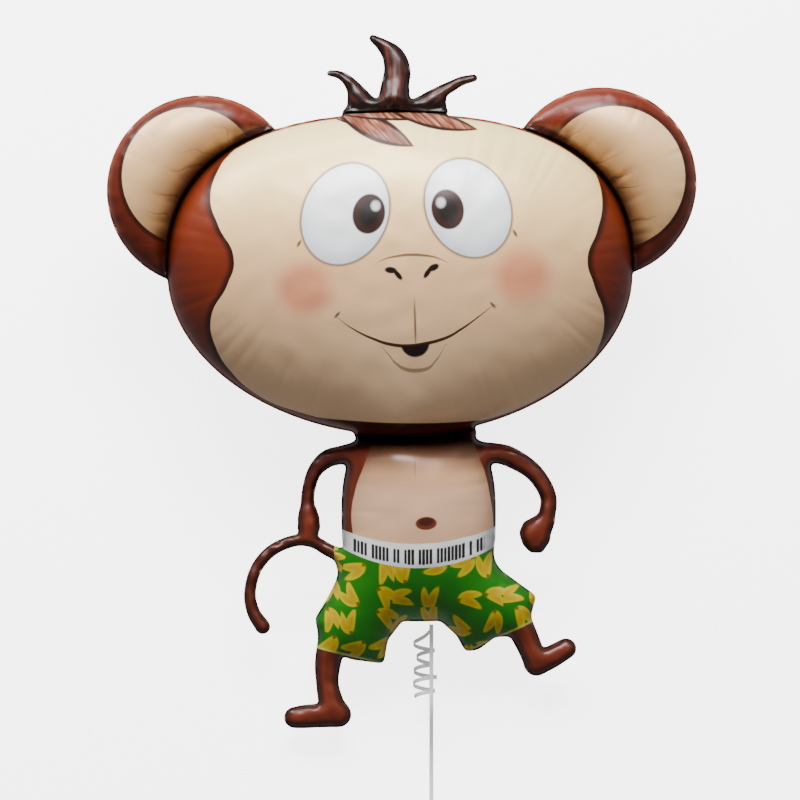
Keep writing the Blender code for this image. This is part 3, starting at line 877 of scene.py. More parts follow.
@dataclass
class Desk:
    """Places the nodes of one material."""

    tree: bpy.types.NodeTree

    def add(self, kind: Node, **settings: object) -> bpy.types.Node:
        """A new node with some settings."""
        node = self.tree.nodes.new(kind.value)
        for name, value in settings.items():
            setattr(node, name, value)
        return node

    def join(self, value: object, socket: bpy.types.NodeSocket) -> None:
        """Link a value to a socket, or set it there if it is a constant, such as a triple of ink."""
        if isinstance(value, Sum):
            value = value.socket
        if isinstance(value, tuple) and len(value) == 3:
            value = linear(*value)
        if isinstance(value, bpy.types.NodeSocket):
            self.tree.links.new(value, socket)
        else:
            socket.default_value = value

    def math(self, operation: str, *values: "Sum | float") -> Sum:
        """One sum of one to three numbers."""
        node = self.add(Node.MATH, operation=operation)
        for value, socket in zip(values, node.inputs):
            self.join(value, socket)
        return Sum(self, node.outputs[0])

    def step(self, value: Sum, soft: float) -> Sum:
        """A smooth step from 0 to 1 as a value goes from minus to plus a softness."""
        node = self.add(Node.RANGE, interpolation_type="SMOOTHSTEP")
        self.join(value, node.inputs["Value"])
        set_inputs(node, {"From Min": -soft, "From Max": soft})
        return Sum(self, node.outputs["Result"])

    def mix(self, share: "Sum | float", under: object, over: object) -> bpy.types.NodeSocket:
        """A colour over another, by a share."""
        node = self.add(Node.MIX, data_type="RGBA")
        self.join(share, node.inputs["Factor"])
        self.join(under, node.inputs[6])
        self.join(over, node.inputs[7])
        return node.outputs[2]

    def curve(self, value: Sum, points: Sequence[Point]) -> Sum:
        """A smooth curve through points, read at a value.

        Args:
            value: where to read it.
            points: pairs of a value and what the curve gives there.

        Returns:
            The curve's height.
        """
        table = np.array(sorted(points))
        low, high = table.min(0), table.max(0)
        scaled = (table - low) / (high - low)
        node = self.add(Node.CURVE)
        line = node.mapping.curves[0]
        for place, height in scaled[1:-1]:
            line.points.new(float(place), float(height))
        line.points[0].location = scaled[0]
        line.points[-1].location = scaled[-1]
        node.mapping.extend = "HORIZONTAL"
        node.mapping.update()
        self.join((value - float(low[0])) / float(high[0] - low[0]), node.inputs["Value"])
        return Sum(self, node.outputs[0]) * float(high[1] - low[1]) + float(low[1])

    def layers(self, under: object, *layers: tuple[Sum, object]) -> bpy.types.NodeSocket:
        """Colours laid over another one after the other, each by its share."""
        for share, over in layers:
            under = self.mix(share, under, over)
        return under

    def pair(self, across: Sum, up: Sum) -> bpy.types.NodeSocket:
        """A vector of two numbers."""
        node = self.add(Node.COMBINE)
        self.join(across, node.inputs[0])
        self.join(up, node.inputs[1])
        return node.outputs[0]

    def parts(self, vector: bpy.types.NodeSocket) -> list[Sum]:
        """The three numbers of a vector."""
        node = self.add(Node.SEPARATE)
        self.join(vector, node.inputs[0])
        return [Sum(self, output) for output in node.outputs]

    def attribute(self, name: str) -> Sum:
        """A number that is stored on the mesh."""
        return Sum(self, self.add(Node.ATTRIBUTE, attribute_name=name).outputs["Fac"])

    def bump(self, height: Sum, strength: float, distance: float) -> bpy.types.NodeSocket:
        """The direction of a surface that is raised by a height, times a distance and a strength."""
        node = self.add(Node.BUMP)
        set_inputs(node, {"Strength": strength, "Distance": distance})
        self.join(height, node.inputs["Height"])
        return node.outputs[0]

    def noise(self, scale: float, vector: object, detail: float = 2.0, roughness: float = 0.5,
              flat: bool = False) -> Sum:
        """Soft noise from 0 to 1 over a vector, of three dimensions or, if flat, of two."""
        node = self.add(Node.NOISE, noise_dimensions="2D" if flat else "3D")
        set_inputs(node, {"Scale": scale, "Detail": detail, "Roughness": roughness})
        self.join(vector, node.inputs["Vector"])
        return Sum(self, node.outputs["Fac"])

    def shaded(self, value: Sum, stops: Sequence[tuple[float, int, int, int]]) -> bpy.types.NodeSocket:
        """A colour that changes with a value, through stops of a value and an ink."""
        low, high = stops[0][0], stops[-1][0]
        node = self.add(Node.RAMP)
        ramp = node.color_ramp
        while len(ramp.elements) < len(stops):
            ramp.elements.new(0.5)
        for element, (place, *ink) in zip(ramp.elements, stops):
            element.position = (place - low) / (high - low)
            element.color = linear(*ink)
        self.join((value - low) / (high - low), node.inputs["Fac"])
        return node.outputs["Color"]


def new_material(name: str) -> tuple[bpy.types.Material, Desk, bpy.types.Node]:
    """A material, its desk and its shader."""
    material = bpy.data.materials.new(name)
    material.use_nodes = True
    return material, Desk(material.node_tree), material.node_tree.nodes["Principled BSDF"]


@dataclass
class MonkeyPrint:
    """The print on the film, painted layer over layer with sums of the place on the film."""

    desk: Desk
    trunk_top: float = -0.262
    hair_root: Point = (-0.006, 0.205)
    creases_per_radian: float = 8.0
    bananas_per_metre: float = 24.5
    banana_half: Point = (0.0190, 0.0082)
    banana_bend: float = 12.0
    banana_angles: Point = (0.70, 0.10)
    stem_reach: float = 0.0165
    stroke_pitch: float = 0.0054

    def place(self) -> None:
        """Read the place on the print and the distances from the welds."""
        self.at = self.desk.add(Node.ATTRIBUTE, attribute_name="print_at").outputs["Vector"]
        self.x, self.y, z = self.desk.parts(self.at)
        self.edge, self.crease, self.head = (
            self.desk.attribute(name) for name in ("from_edge", "from_crease", "inside_head"))
        self.front = self.desk.step(z, 0.0001)
        self.beside_face = self.x.absolute().above(0.15, 0.004)
        self.radial = self.radial_creases()

    def radial_creases(self) -> Sum:
        """Fine creases out of the head: edges of cells of the angle round it, bent by noise."""
        bend = (self.desk.noise(14.0, self.at) - 0.5) * 0.22
        angle = self.desk.math("ARCTAN2", self.y * 1.25, self.x) + bend
        cells = self.desk.add(Node.VORONOI, voronoi_dimensions="1D", feature="DISTANCE_TO_EDGE")
        set_inputs(cells, {"Scale": self.creases_per_radian})
        self.desk.join(angle, cells.inputs["W"])
        line = Sum(self.desk, cells.outputs["Distance"]).below(0.03, 0.06)
        outside = self.head.below(0.0, 0.0005)
        ear = outside * self.crease.below(0.030, 0.028) * self.beside_face
        rim = (1.0 - outside) * self.edge.below(0.020, 0.018) * 0.35
        return line * (ear + rim)

    def turned(self, middle: Point, half: Point, turn: float) -> tuple[Sum, Sum]:
        """Places along the two half axes of a turned oval, as shares of them."""
        x, y = self.x - middle[0], self.y - middle[1]
        cosine, sine = math.cos(turn), math.sin(turn)
        return (x * cosine + y * sine) / half[0], (y * cosine - x * sine) / half[1]

    def disc(self, middle: Point, half: Point, turn: float = 0.0, soft: float = 0.05) -> Sum:
        """1 inside an ellipse: the root of (x/a) squared plus (y/b) squared is under 1."""
        across, up = self.turned(middle, half, turn)
        far = self.desk.math("SQRT", across * across + up * up)
        return far.below(1.0, soft)

    def leaf(self, middle: Point, half: Point, turn: float, soft: float = 0.12) -> Sum:
        """1 inside a leaf with pointed ends: |y/b| is under 1 less (x/a) squared."""
        across, up = self.turned(middle, half, turn)
        return (1.0 - across * across - up.absolute()).above(0.0, soft)

    def dot(self, place: Point, half: Point, turn: float = 0.0, soft: float = 0.05) -> Sum:
        """1 inside an ellipse whose place and half axes are in units."""
        return self.disc(spot(*place), (half[0] * UNIT, half[1] * UNIT), turn, soft)

    def across_at(self, *places: Point) -> Sum:
        """x of a smooth line that goes down through places in units."""
        return self.desk.curve(self.y, [(y, x) for x, y in spots(*places)])

    def height_at(self, *places: Point) -> Sum:
        """y of a smooth line that goes across through places in units."""
        return self.desk.curve(self.x, spots(*places))

    def stroke(self, height: Sum, start: float, end: float, width: float) -> Sum:
        """1 on a pen line that follows a height from a start to an end in units, thin at its ends."""
        start, end = spot(start, 0)[0], spot(end, 0)[0]
        middle, reach = (start + end) / 2, (end - start) / 2
        share = (self.x - middle) / reach
        pen = (1.0 - share * share).most(0.0) * (width / 2)
        return (self.y - height).absolute().below(pen, 0.0007) * share.absolute().below(1.0, 0.01)

    def parabola(self, points: Sequence[Point]) -> Sum:
        """Height of the parabola through three points."""
        square, slope, base = np.polyfit([p[0] for p in points], [p[1] for p in points], 2)
        return (self.x * float(square) + float(slope)) * self.x + float(base)

    def brown(self) -> bpy.types.NodeSocket:
        """Brown fur with painted light and shade by the welds, dark hair, and painted shade in creases and
        neck.
        """
        desk, x, y, edge, head = self.desk, self.x, self.y, self.edge, self.head
        drift = (desk.noise(9.0, self.at) - 0.5) * 0.006
        # Lighter on the weld itself, painted light that offsets its dark steep wall, then painted shade
        # just inside the weld
        tone = desk.shaded(edge + drift, (
            (0.0, 154, 86, 62), (0.003, 126, 56, 36), (0.009, 98, 33, 15), (0.022, 99, 32, 13),
            (0.070, 114, 40, 16)))
        # Below the trunk's top: painted light on the weld, painted shade just inside it and a painted sheen
        # a little farther in
        limb = desk.shaded(edge + drift * 0.25, (
            (0.0, 84, 36, 24), (0.0035, 56, 21, 12), (0.0080, 88, 32, 17), (0.013, 116, 46, 25),
            (0.024, 104, 36, 16)))
        # The hair's strands: partly printed fur, partly painted sheen along its pleats
        across, up = x - self.hair_root[0], y - self.hair_root[1]
        fan = desk.pair(desk.math("ARCTAN2", across, up) * 15.0, up * 9.0)
        strands = desk.shaded(desk.noise(1.0, fan, detail=1.0, flat=True), (
            (0.36, 24, 7, 4), (0.53, 56, 20, 12), (0.72, 98, 48, 34)))
        # Darker along the hair's weld and at its root by the crease: painted shade
        strands = desk.layers(strands, (edge.below(0.0045, 0.0045), (22, 6, 3)),
                              (y.below(0.262, 0.010), (14, 4, 2)))
        tuft = head.below(-0.001, 0.0008) * y.above(0.235, 0.002) * x.absolute().below(0.14, 0.002)
        # Painted shade on the brown beside the creases where the ears meet the head
        crease_shade = head.below(0.0, 0.0005) * self.crease.below(0.014, 0.013) * self.beside_face
        # Painted shadow under the chin, across the neck
        neck = y.below(-0.240, 0.004) * y.above(self.trunk_top, 0.006)
        neck = neck * x.above(-0.085, 0.004) * x.below(0.125, 0.004)
        return desk.layers(
            tone,
            (y.below(self.trunk_top, 0.004), limb),
            (tuft, strands),
            (crease_shade * 0.85, (38, 11, 6)),
            # painted shade in the inner weld creases
            (self.crease.below(0.0035, 0.006), (24, 8, 4)),
            (neck * 0.85, (14, 5, 3)),
        )

    def face(self, under: bpy.types.NodeSocket) -> bpy.types.NodeSocket:
        """Cream face between its wavy sides, paler at the top in print and in painted light, with a dark
        border on the brown.
        """
        left = self.across_at(
            (345, 42), (339, 49), (333, 56), (327, 64), (323.6, 76.5), (327, 88), (333.6, 103), (331, 112),
            (323.6, 128), (325.6, 138), (332.5, 149), (343, 158), (360, 165), (384, 170))
        right = self.across_at(
            (452, 42), (466, 50), (477, 58), (484, 68), (485.7, 79.4), (483.5, 90), (479.4, 102.4),
            (482, 112), (486.6, 127), (484, 139), (476.5, 150), (464, 158.5), (448, 165), (430, 170))
        bottom = self.height_at(
            (330, 164), (350, 165), (365, 166.8), (380, 168.4), (408, 169.6), (436, 168.4), (452, 166.2),
            (470, 164), (486, 162))
        inside = self.x.above(left, CRISP) * self.x.below(right, CRISP) * self.y.above(bottom, CRISP)
        near = (self.x - left).above(-0.0078, 0.0052) * (right - self.x).above(-0.0078, 0.0052)
        # Paler towards the top: partly printed tone, partly painted light from above
        cream = self.desk.shaded(self.y, (
            (-0.225, 250, 208, 166), (-0.12, 238, 196, 152), (0.0, 241, 192, 142), (0.10, 255, 214, 148),
            (0.22, 255, 230, 162)))
        return self.desk.layers(
            under,
            (near * self.head.above(0.010, 0.006) * self.front * 0.90, (34, 10, 5)),
            (inside * self.head.above(0.0045, 0.0010) * self.front, cream),
        )

    def round_ears(self, radii: Point, soft: float) -> Sum:
        """1 inside discs round the middles of the right and the left ear, with radii in units."""
        discs = [self.dot(place, (radius, radius), 0, soft)
                 for place, radius in zip(((491, 67.5), (315, 67)), radii)]
        return discs[0].most(discs[1])

    def ears(self, under: bpy.types.NodeSocket) -> bpy.types.NodeSocket:
        """Beige inner ears with a dark outline, with painted shade towards the head and along fine creases.
        """
        # Darker towards the crease at the head: painted shade
        beige = self.desk.shaded(self.crease, (
            (0.0, 60, 32, 16), (0.008, 112, 76, 44), (0.026, 178, 134, 88), (0.060, 220, 174, 122),
            (0.11, 238, 194, 142)))
        discs = self.round_ears((29.5, 28.5), 0.006)
        wedge = self.dot((497, 64.5), (35.0, 31.0), 0, 0.006).most(
            self.dot((309, 64.5), (34.0, 31.5), 0, 0.006))
        ring = discs.most(self.round_ears((31.2, 30.2), 0.025))
        # Painted shade at both ends of the inner ear, where it meets the crease
        ends = (1.0 - self.round_ears((25.0, 24.0), 0.14)) * self.crease.below(0.022, 0.018)
        beyond = self.head.below(-0.0050, 0.0012) * self.front
        # Darker along the fine radial creases: painted shade in them
        beige = self.desk.layers(beige, (self.radial * 0.75, (92, 58, 32)), (ends * 0.75, (58, 28, 14)))
        return self.desk.layers(under, (ring * beyond * 0.85, (46, 14, 7)), (discs * wedge * beyond, beige))

    def eyes(self, under: bpy.types.NodeSocket) -> bpy.types.NodeSocket:
        """Two white eyes with brown irises that look to the middle."""
        eyes = (
            (spot(379.5, 83.5), (17.2 * UNIT, 21.4 * UNIT), -0.42, (389.2, 83.5), (392, 80.2)),
            (spot(430, 81), (17.0 * UNIT, 20.8 * UNIT), 0.42, (421.6, 81.6), (418.8, 78.9)),
        )
        for middle, (across, up), turn, iris, gleam in eyes:
            outline = self.disc(middle, (across + 0.0030, up + 0.0030), turn, 0.035)
            lit = self.disc((middle[0], middle[1] + 0.010), (across * 0.95, up * 0.95), turn, 0.35)
            inside = self.disc(middle, (across, up), turn, 0.02) * self.front
            under = self.desk.layers(
                under,
                (outline * self.front * 0.92, (104, 80, 64)),
                (inside, self.desk.mix(lit, (206, 212, 220), (250, 252, 254))),
                (self.dot(iris, (6.7, 8.4), turn * 0.5, 0.06) * inside, (46, 13, 5)),
                (self.dot(iris, (4.1, 5.5), turn * 0.5, 0.30) * inside, (12, 4, 2)),
                (self.dot(gleam, (1.8, 2.0), 0, 0.45) * inside, (208, 206, 208)),
            )
        return under

    def muzzle(self, under: bpy.types.NodeSocket) -> bpy.types.NodeSocket:
        """Cheeks, nose, mouth and the fine lines round them."""
        line, black, pink = (64, 35, 20), (20, 8, 5), (216, 112, 84)
        nose = self.height_at(
            (391.8, 104.8), (395.4, 102.3), (400.6, 101.0), (406.6, 100.4), (413.2, 100.8), (418.6, 102.2),
            (422.2, 104.4))
        smile = self.height_at(
            (376.4, 126.2), (383.7, 131.4), (391.1, 134.9), (398.4, 137.2), (405, 137.8), (412.1, 136.9),
            (420.5, 134.6), (427, 131.0), (434, 126.0), (440.4, 120.9))
        lip = self.height_at(
            (394.7, 138.2), (397.6, 141.8), (400.6, 145.2), (404.7, 147.5), (408.9, 147.9), (413.2, 147.1),
            (416.4, 144.2), (418.8, 140.8), (420.6, 137.2))
        ink = self.stroke(nose, 391.8, 422.2, 0.0040) * 0.80
        ink = ink.most(self.stroke(smile, 374.6, 442.2, 0.0054))
        ink = ink.most(self.stroke(lip, 393.6, 421.8, 0.0062) * 0.62)
        ink = ink.most(self.disc(spot(408.2, 128.5), (0.0016, 0.032), 0.03, 0.6) * 0.8)
        ticks = (((376.2, 125.0), -0.75), ((440.2, 121.0), 0.75), ((360.5, 95.7), -0.5),
                 ((449.3, 91.4), 0.5))
        for place, turn in ticks:
            ink = ink.most(self.disc(spot(*place), (0.0021, 0.0058), turn, 0.5) * 0.85)
        cheeks = [(self.dot(place, (10.8, 10.8), 0, 0.45) * self.front * 0.62, pink)
                  for place in ((362.8, 114.3), (452.8, 108.7))]
        nostrils = [(self.dot(place, half, turn, 0.25) * self.front, black) for place, half, turn in (
            ((398.2, 106.7), (2.5, 1.35), -0.10), ((401.2, 108.7), (2.5, 1.0), -0.88),
            ((415.8, 105.6), (2.4, 1.35), 0.45), ((413.3, 107.8), (2.6, 1.0), 0.98))]
        opening = self.dot((408.2, 136.6), (5.9, 5.8), 0, 0.08) * self.y.below(smile, CRISP)
        return self.desk.layers(under, *cheeks, (ink * self.front, line), *nostrils,
                                (opening * self.front, black))

    def forelock(self, under: bpy.types.NodeSocket) -> bpy.types.NodeSocket:
        """Brown locks of hair printed on the forehead, with paler strands and dark outlines."""
        grain = self.desk.pair((self.x + self.y * 0.9) * 170.0, (self.y - self.x) * 16.0)
        tone = self.desk.shaded(self.desk.noise(1.0, grain, flat=True), (
            (0.34, 96, 48, 32), (0.50, 134, 78, 56), (0.70, 190, 138, 112)))
        tone = self.desk.mix(self.y.below(0.214, 0.022) * 0.6, tone, (88, 44, 26))
        below_hair = self.head.above(-0.001, CRISP) * self.front
        locks = (((384.0, 43.4), (9.5, 2.8), -0.08), ((391.4, 47.4), (18.4, 5.4), -0.46),
                 ((399.0, 41.2), (24.0, 3.2), -0.02), ((415.4, 43.5), (19.6, 4.2), -0.235))
        for middle, half, turn in locks:
            across, up = half[0] * UNIT, half[1] * UNIT
            body = self.leaf(spot(*middle), (across, up), turn, 0.08) * below_hair
            core = self.leaf(spot(*middle), (across * 0.92, up * 0.64), turn, 0.16)
            under = self.desk.mix(body, under, self.desk.mix(core, (34, 11, 6), tone))
        return under

    def belly(self, under: bpy.types.NodeSocket) -> bpy.types.NodeSocket:
        """Beige belly with its navel, with painted shadow under the head, painted shade at its sides and in
        a fold.
        """
        x, y = self.x, self.y
        left = self.across_at((391.4, 175), (387.3, 186.5), (383.2, 198.4), (381.8, 207.5), (382.3, 214.5),
                              (383.2, 222))
        right = self.across_at((431.8, 175), (435.0, 184), (437.8, 192), (439.4, 200), (440.6, 208),
                               (441.0, 222))
        inside = x.above(left, CRISP) * x.below(right, CRISP) * y.below(-0.2500, 0.0008)
        inside = inside * y.above(-0.452, 0.001) * self.edge.above(0.0030, 0.0010)
        # Darker at the top, under the chin: painted shadow of the head
        beige = self.desk.shaded(y, (
            (-0.41, 228, 180, 144), (-0.33, 230, 184, 148), (-0.298, 204, 155, 117), (-0.272, 94, 60, 38),
            (-0.252, 46, 24, 13)))
        # Darker towards its sides: painted shade of the round trunk
        side = self.disc((0.030, -0.345), (0.112, 0.16), 0, 0.30)
        beige = self.desk.mix((1.0 - side) * 0.35, beige, (150, 102, 70))
        return self.desk.layers(
            under,
            (inside * self.front, beige),
            # A faint dark line down the top of the belly: painted shade in a fold
            (self.disc(spot(408.2, 183.5), (0.0014, 0.027), 0.0, 0.6) * self.front * 0.45, (88, 54, 36)),
            (self.dot((412.8, 211), (4.4, 2.7), 0.05, 0.10) * self.front, (110, 52, 32)),
            (self.dot((412.8, 210.4), (3.2, 1.7), 0.05, 0.30) * self.front, (70, 28, 18)),
        )

    def bananas(self, under: bpy.types.NodeSocket) -> bpy.types.NodeSocket:
        """Pairs of bananas, one in each cell of an uneven pattern, each turned its own way."""
        desk = self.desk
        cells = desk.add(Node.VORONOI, voronoi_dimensions="2D", feature="F1")
        set_inputs(cells, {"Scale": self.bananas_per_metre, "Randomness": 0.55})
        desk.join(self.at, cells.inputs["Vector"])
        middle, chance = desk.parts(cells.outputs["Position"]), desk.parts(cells.outputs["Color"])
        dx, dy = self.x - middle[0], self.y - middle[1]
        turn = chance[0] * TURN
        cosine, sine = desk.math("COSINE", turn), desk.math("SINE", turn)
        across, up = dx * cosine + dy * sine, dy * cosine - dx * sine

        def banana(angle: float) -> Sum:
            """How far inside a banana: an ellipse on an axis that starts at the stem and bends."""
            cosine, sine = math.cos(angle), math.sin(angle)
            far = (across + self.stem_reach) * cosine + up * sine
            side = up * cosine - (across + self.stem_reach) * sine + far * far * self.banana_bend
            a, b = (far - self.stem_reach) / self.banana_half[0], side / self.banana_half[1]
            return 1.0 - desk.math("SQRT", a * a + b * b)

        upper, lower = (banana(angle) for angle in self.banana_angles)
        both = upper.most(lower)
        seam = (upper - lower).absolute().below(0.045, 0.045) * both.above(0.16, 0.05)
        stem = desk.math("SQRT", (across + 0.0160) * (across + 0.0160) + up * up).below(0.0030, 0.0008)
        return desk.layers(
            under,
            (both.above(0.03, 0.025), (104, 134, 2)),
            (both.above(0.13, 0.035), desk.mix(both.above(0.55, 0.25), (200, 182, 0), (196, 154, 0))),
            (seam * 0.8, (120, 92, 4)),
            (stem * 0.8, (104, 84, 10)),
        )

    def band(self, low: Sum, high: Sum) -> bpy.types.NodeSocket:
        """White waistband with painted shade towards its ends, and a row of upright strokes in groups,
        uneven in width and height.
        """
        desk = self.desk
        down = (high - self.y) / (high - low)
        step = self.x / self.stroke_pitch
        white = desk.add(Node.WHITE, noise_dimensions="1D")
        desk.join(desk.math("FLOOR", step), white.inputs["W"])
        chance = Sum(desk, white.outputs["Value"])
        pen = (desk.math("FRACT", step) - 0.5).absolute().below(chance * 0.08 + 0.33, 0.05)
        tall = (down - 0.55).absolute().below(chance * 0.04 + 0.29, 0.03)
        gap = desk.math("FRACT", step / 9.0).above(0.13, 0.01) * chance.above(0.06, 0.01)
        ends = (self.x - 0.028).absolute().below(0.098, 0.001)
        cloth = desk.mix(down.above(0.8, 0.2) * 0.4, (246, 247, 248), (196, 198, 202))
        return desk.layers(
            cloth,
            # Greyer towards its ends at the weld: painted shade
            (self.edge.below(0.012, 0.014) * 0.6, (150, 150, 156)),
            (pen * tall * gap * ends * self.front, (32, 30, 34)),
        )

    def shorts(self, under: bpy.types.NodeSocket) -> bpy.types.NodeSocket:
        """Green shorts with bananas and pale hems, and their band."""
        x, y = self.x, self.y
        low = self.parabola([(-0.0806, -0.4118), (0.0252, -0.4374), (0.1386, -0.4086)])
        high = self.parabola([(-0.0824, -0.3827), (0.0187, -0.4014), (0.1386, -0.3784)])
        on_right = x.above(0.040, 0.002)
        bottom = (x * -0.25 - 0.5904) * (1.0 - on_right) + ((x - 0.1008) * 0.4615 - 0.5652) * on_right
        tail = (x.below(-0.0985, CRISP) * y.above(-0.455, 0.001)).most(x.below(-0.150, 0.001))
        hand = x.above(0.160, 0.001) * y.above(-0.432, 0.001)
        cloth = y.below(low, CRISP) * y.above(bottom, CRISP) * (1.0 - tail) * (1.0 - hand)
        # Darker green towards the weld: painted shade
        green = self.desk.mix(self.edge.above(0.006, 0.010), (24, 88, 2), (28, 116, 4))
        hem = (y - bottom).below(0.0034, 0.0008) * 0.8
        print_ = self.desk.mix(hem, self.bananas(green), (196, 200, 96))
        waist = y.above(low, CRISP) * y.below(high, CRISP) * x.absolute().below(0.16, 0.001)
        waist = waist * x.above(-0.100, 0.001)
        return self.desk.layers(under, (cloth, print_), (waist, self.band(low, high)))

    def colour(self) -> bpy.types.NodeSocket:
        """The whole print's colour."""
        self.place()
        colour = self.brown()
        for paint in (self.face, self.ears, self.muzzle, self.eyes, self.forelock, self.belly, self.shorts):
            colour = paint(colour)
        return colour


@dataclass(frozen=True)
class PrintedFoil:
    """Satin foil under print ink: a soft gloss over fine crinkles."""

    roughness: float = 0.36
    gloss: float = 0.42
    metallic: float = 0.12
    coat: float = 0.08
    coat_roughness: float = 0.20
    crinkle: float = 0.13
    crinkle_height: float = 0.0012

    def material(self) -> bpy.types.Material:
        """The material."""
        material, desk, shader = new_material("printed_foil")
        print_ = MonkeyPrint(desk)
        desk.join(print_.colour(), shader.inputs["Base Color"])
        coordinates = desk.add(Node.COORDINATES)
        noise = desk.noise(38.0, coordinates.outputs["Object"], detail=3.0, roughness=0.45)
        bump = desk.bump(noise - print_.radial * 3.0, self.crinkle, self.crinkle_height)
        desk.join(bump, shader.inputs["Normal"])
        set_inputs(shader, {
            "Roughness": self.roughness,
            "Specular IOR Level": self.gloss,
            "Metallic": self.metallic,
            "Coat Weight": self.coat,
            "Coat Roughness": self.coat_roughness,
        })
        return material


@dataclass(frozen=True)
class RibbonFilm:
    """Pale satin curling ribbon with fine lengthwise ribs, and a faint painted glow that makes it paler."""

    roughness: float = 0.34
    painted_glow: float = 0.22
    ribs: float = 9.0
    rib_strength: float = 0.6
    rib_height: float = 0.0002

    def material(self) -> bpy.types.Material:
        """The material, with its ribs along the ribbon's own coordinate."""
        material, desk, shader = new_material("ribbon_film")
        wave = desk.math("SINE", desk.attribute("across") * (self.ribs * TURN))
        colour = desk.mix(wave * 0.5 + 0.5, (236, 237, 240), (252, 252, 253))
        desk.join(colour, shader.inputs["Base Color"])
        desk.join(desk.bump(wave, self.rib_strength, self.rib_height), shader.inputs["Normal"])
        # The emission is a painted glow that makes the ribbon paler
        set_inputs(shader, {
            "Roughness": self.roughness,
            "Emission Color": WHITE_LIGHT,
            "Emission Strength": self.painted_glow,
        })
        return material


@dataclass
class Ribbon:
    """The tied ribbon: its run down from the crotch with its coil, and its short curled end."""

    width: float = 0.006
    film: float = 0.0004
    start: tuple[float, float, float] = (0.0445, -0.3568, 0.0637)
    run: tuple[Point, ...] = (
        (0.0, 0.0637), (0.020, 0.0637), (0.0535, 0.0564), (0.091, 0.050), (0.122, 0.046), (0.152, 0.0304),
        (0.182, 0.0132), (0.212, 0.0053), (0.237, 0.0033), (0.3716, 0.0033),
    )
    coil_middle: Point = (0.0865, -0.7518)
    coil_radius: float = 0.042
    turn_gap: float = 0.0030
    turns: float = 6.0
    curl_middle: Point = (0.0345, 0.0250)
    curl_radius: float = 0.0195
    curl_turns: float = 4.3
    curl_ends: Point = (-0.3720, -0.4600)
    flat_run: float = 0.25
    edge_reach: float = 0.09
    on_edge_below: float = -0.70
    on_edge_after: float = 0.36

    def run_path(self) -> tuple[np.ndarray, np.ndarray]:
        """Points of the run and the coil, and how far the ribbon is turned on edge at each."""
        down = smooth_line(np.array(self.run), 4)
        distance = down[:, 0]
        sideways = np.full(len(down), self.start[0])
        straight = np.column_stack([sideways, self.start[1] - distance, down[:, 1]])
        straight = straight[straight[:, 1] > self.coil_middle[1] + 0.004]
        count = int(self.turns * 40) + 1
        angle = np.linspace(0, TURN * self.turns, count)
        radius = self.coil_radius - self.turn_gap * angle / TURN
        coil = np.column_stack([
            self.coil_middle[0] - radius * np.cos(angle),
            self.coil_middle[1] - radius * np.sin(angle),
            np.full(count, 0.0034),
        ])
        points = even_line(np.vstack([straight, coil]), 0.0045)
        edge = np.clip((self.start[1] - points[:, 1] - self.flat_run) / self.edge_reach, 0, 1)
        edge = np.where(points[:, 1] < self.on_edge_below, 1.0, edge)
        edge = np.where(distance_along(points) > self.on_edge_after, 1.0, edge)
        return points, edge * edge * (3 - 2 * edge) * math.pi / 2

    def curl_path(self) -> np.ndarray:
        """Points of the curled end: a helix whose first part comes down from the knot."""
        share = np.linspace(0, 1, int(self.curl_turns * 36) + 1)
        angle = math.radians(60) + TURN * self.curl_turns * share
        radius = self.curl_radius * (0.80 + 0.20 * np.sin(math.pi * share ** 0.8) * np.cos(9.0 * share))
        helix = np.column_stack([
            self.curl_middle[0] + radius * np.cos(angle),
            self.curl_ends[0] + (self.curl_ends[1] - self.curl_ends[0]) * share,
            self.curl_middle[1] - (self.curl_radius - radius) + radius * np.sin(angle),
        ])
        pull = np.clip(1 - share / 0.05, 0, 1)[:, None] ** 2
        knot = np.array([self.start[0] - 0.001, self.start[1] - 0.004, self.start[2] - 0.006])
        return even_line(helix * (1 - pull) + knot * pull, 0.003)

    def band(self, name: str, path: np.ndarray, side: np.ndarray) -> bpy.types.Object:
        """A flat band along a path: a thin rectangle of points carried along it.

        Args:
            name: the object's name.
            path: its centre line.
            side: for each point the unit direction across the ribbon's width.

        Returns:
            The object, with an attribute that goes from 0 to 1 across the ribbon.
        """
        along = unit(np.gradient(path, axis=0))
        side = unit(side - along * (side * along).sum(1)[:, None])
        out = np.cross(side, along)
        across = np.array([-1, -0.5, 0, 0.5, 1, 1, 0.5, 0, -0.5, -1]) * self.width / 2
        over = np.array([1, 1, 1, 1, 1, -1, -1, -1, -1, -1]) * self.film / 2
        ring = path[:, None] + side[:, None] * across[None, :, None] + out[:, None] * over[None, :, None]
        count, sides = ring.shape[:2]
        index = np.arange(count * sides).reshape(count, sides)
        following = np.roll(index, -1, 1)
        quads = np.stack([index[:-1], index[1:], following[1:], following[:-1]], -1).reshape(-1, 4)
        faces = quads.tolist() + [index[0].tolist(), index[-1][::-1].tolist()]
        piece = link_mesh(name, ring.reshape(-1, 3), faces)
        write_values(piece.data, "across", "FLOAT", np.tile(across / self.width + 0.5, count))
        piece.data.update()
        return piece

    def build(self, finish: bpy.types.Material) -> None:
        path, edge = self.run_path()
        upright = np.array([0, 0, 1.0])
        level = unit(np.cross(np.gradient(path, axis=0), upright))
        side = level * np.cos(edge)[:, None] + upright * np.sin(edge)[:, None]
        run = self.band("ribbon_run", path, side)
        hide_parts("ribbon", "ribbon_coil")
        curl_path = self.curl_path()
        axis = np.tile(np.array([0, 1.0, 0]), (len(curl_path), 1))
        curl = self.band("ribbon_curled_end", curl_path, axis)
        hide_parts("ribbon_curl")
        for piece in (run, curl):
            piece.data.materials.append(finish)
            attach(piece, "root")


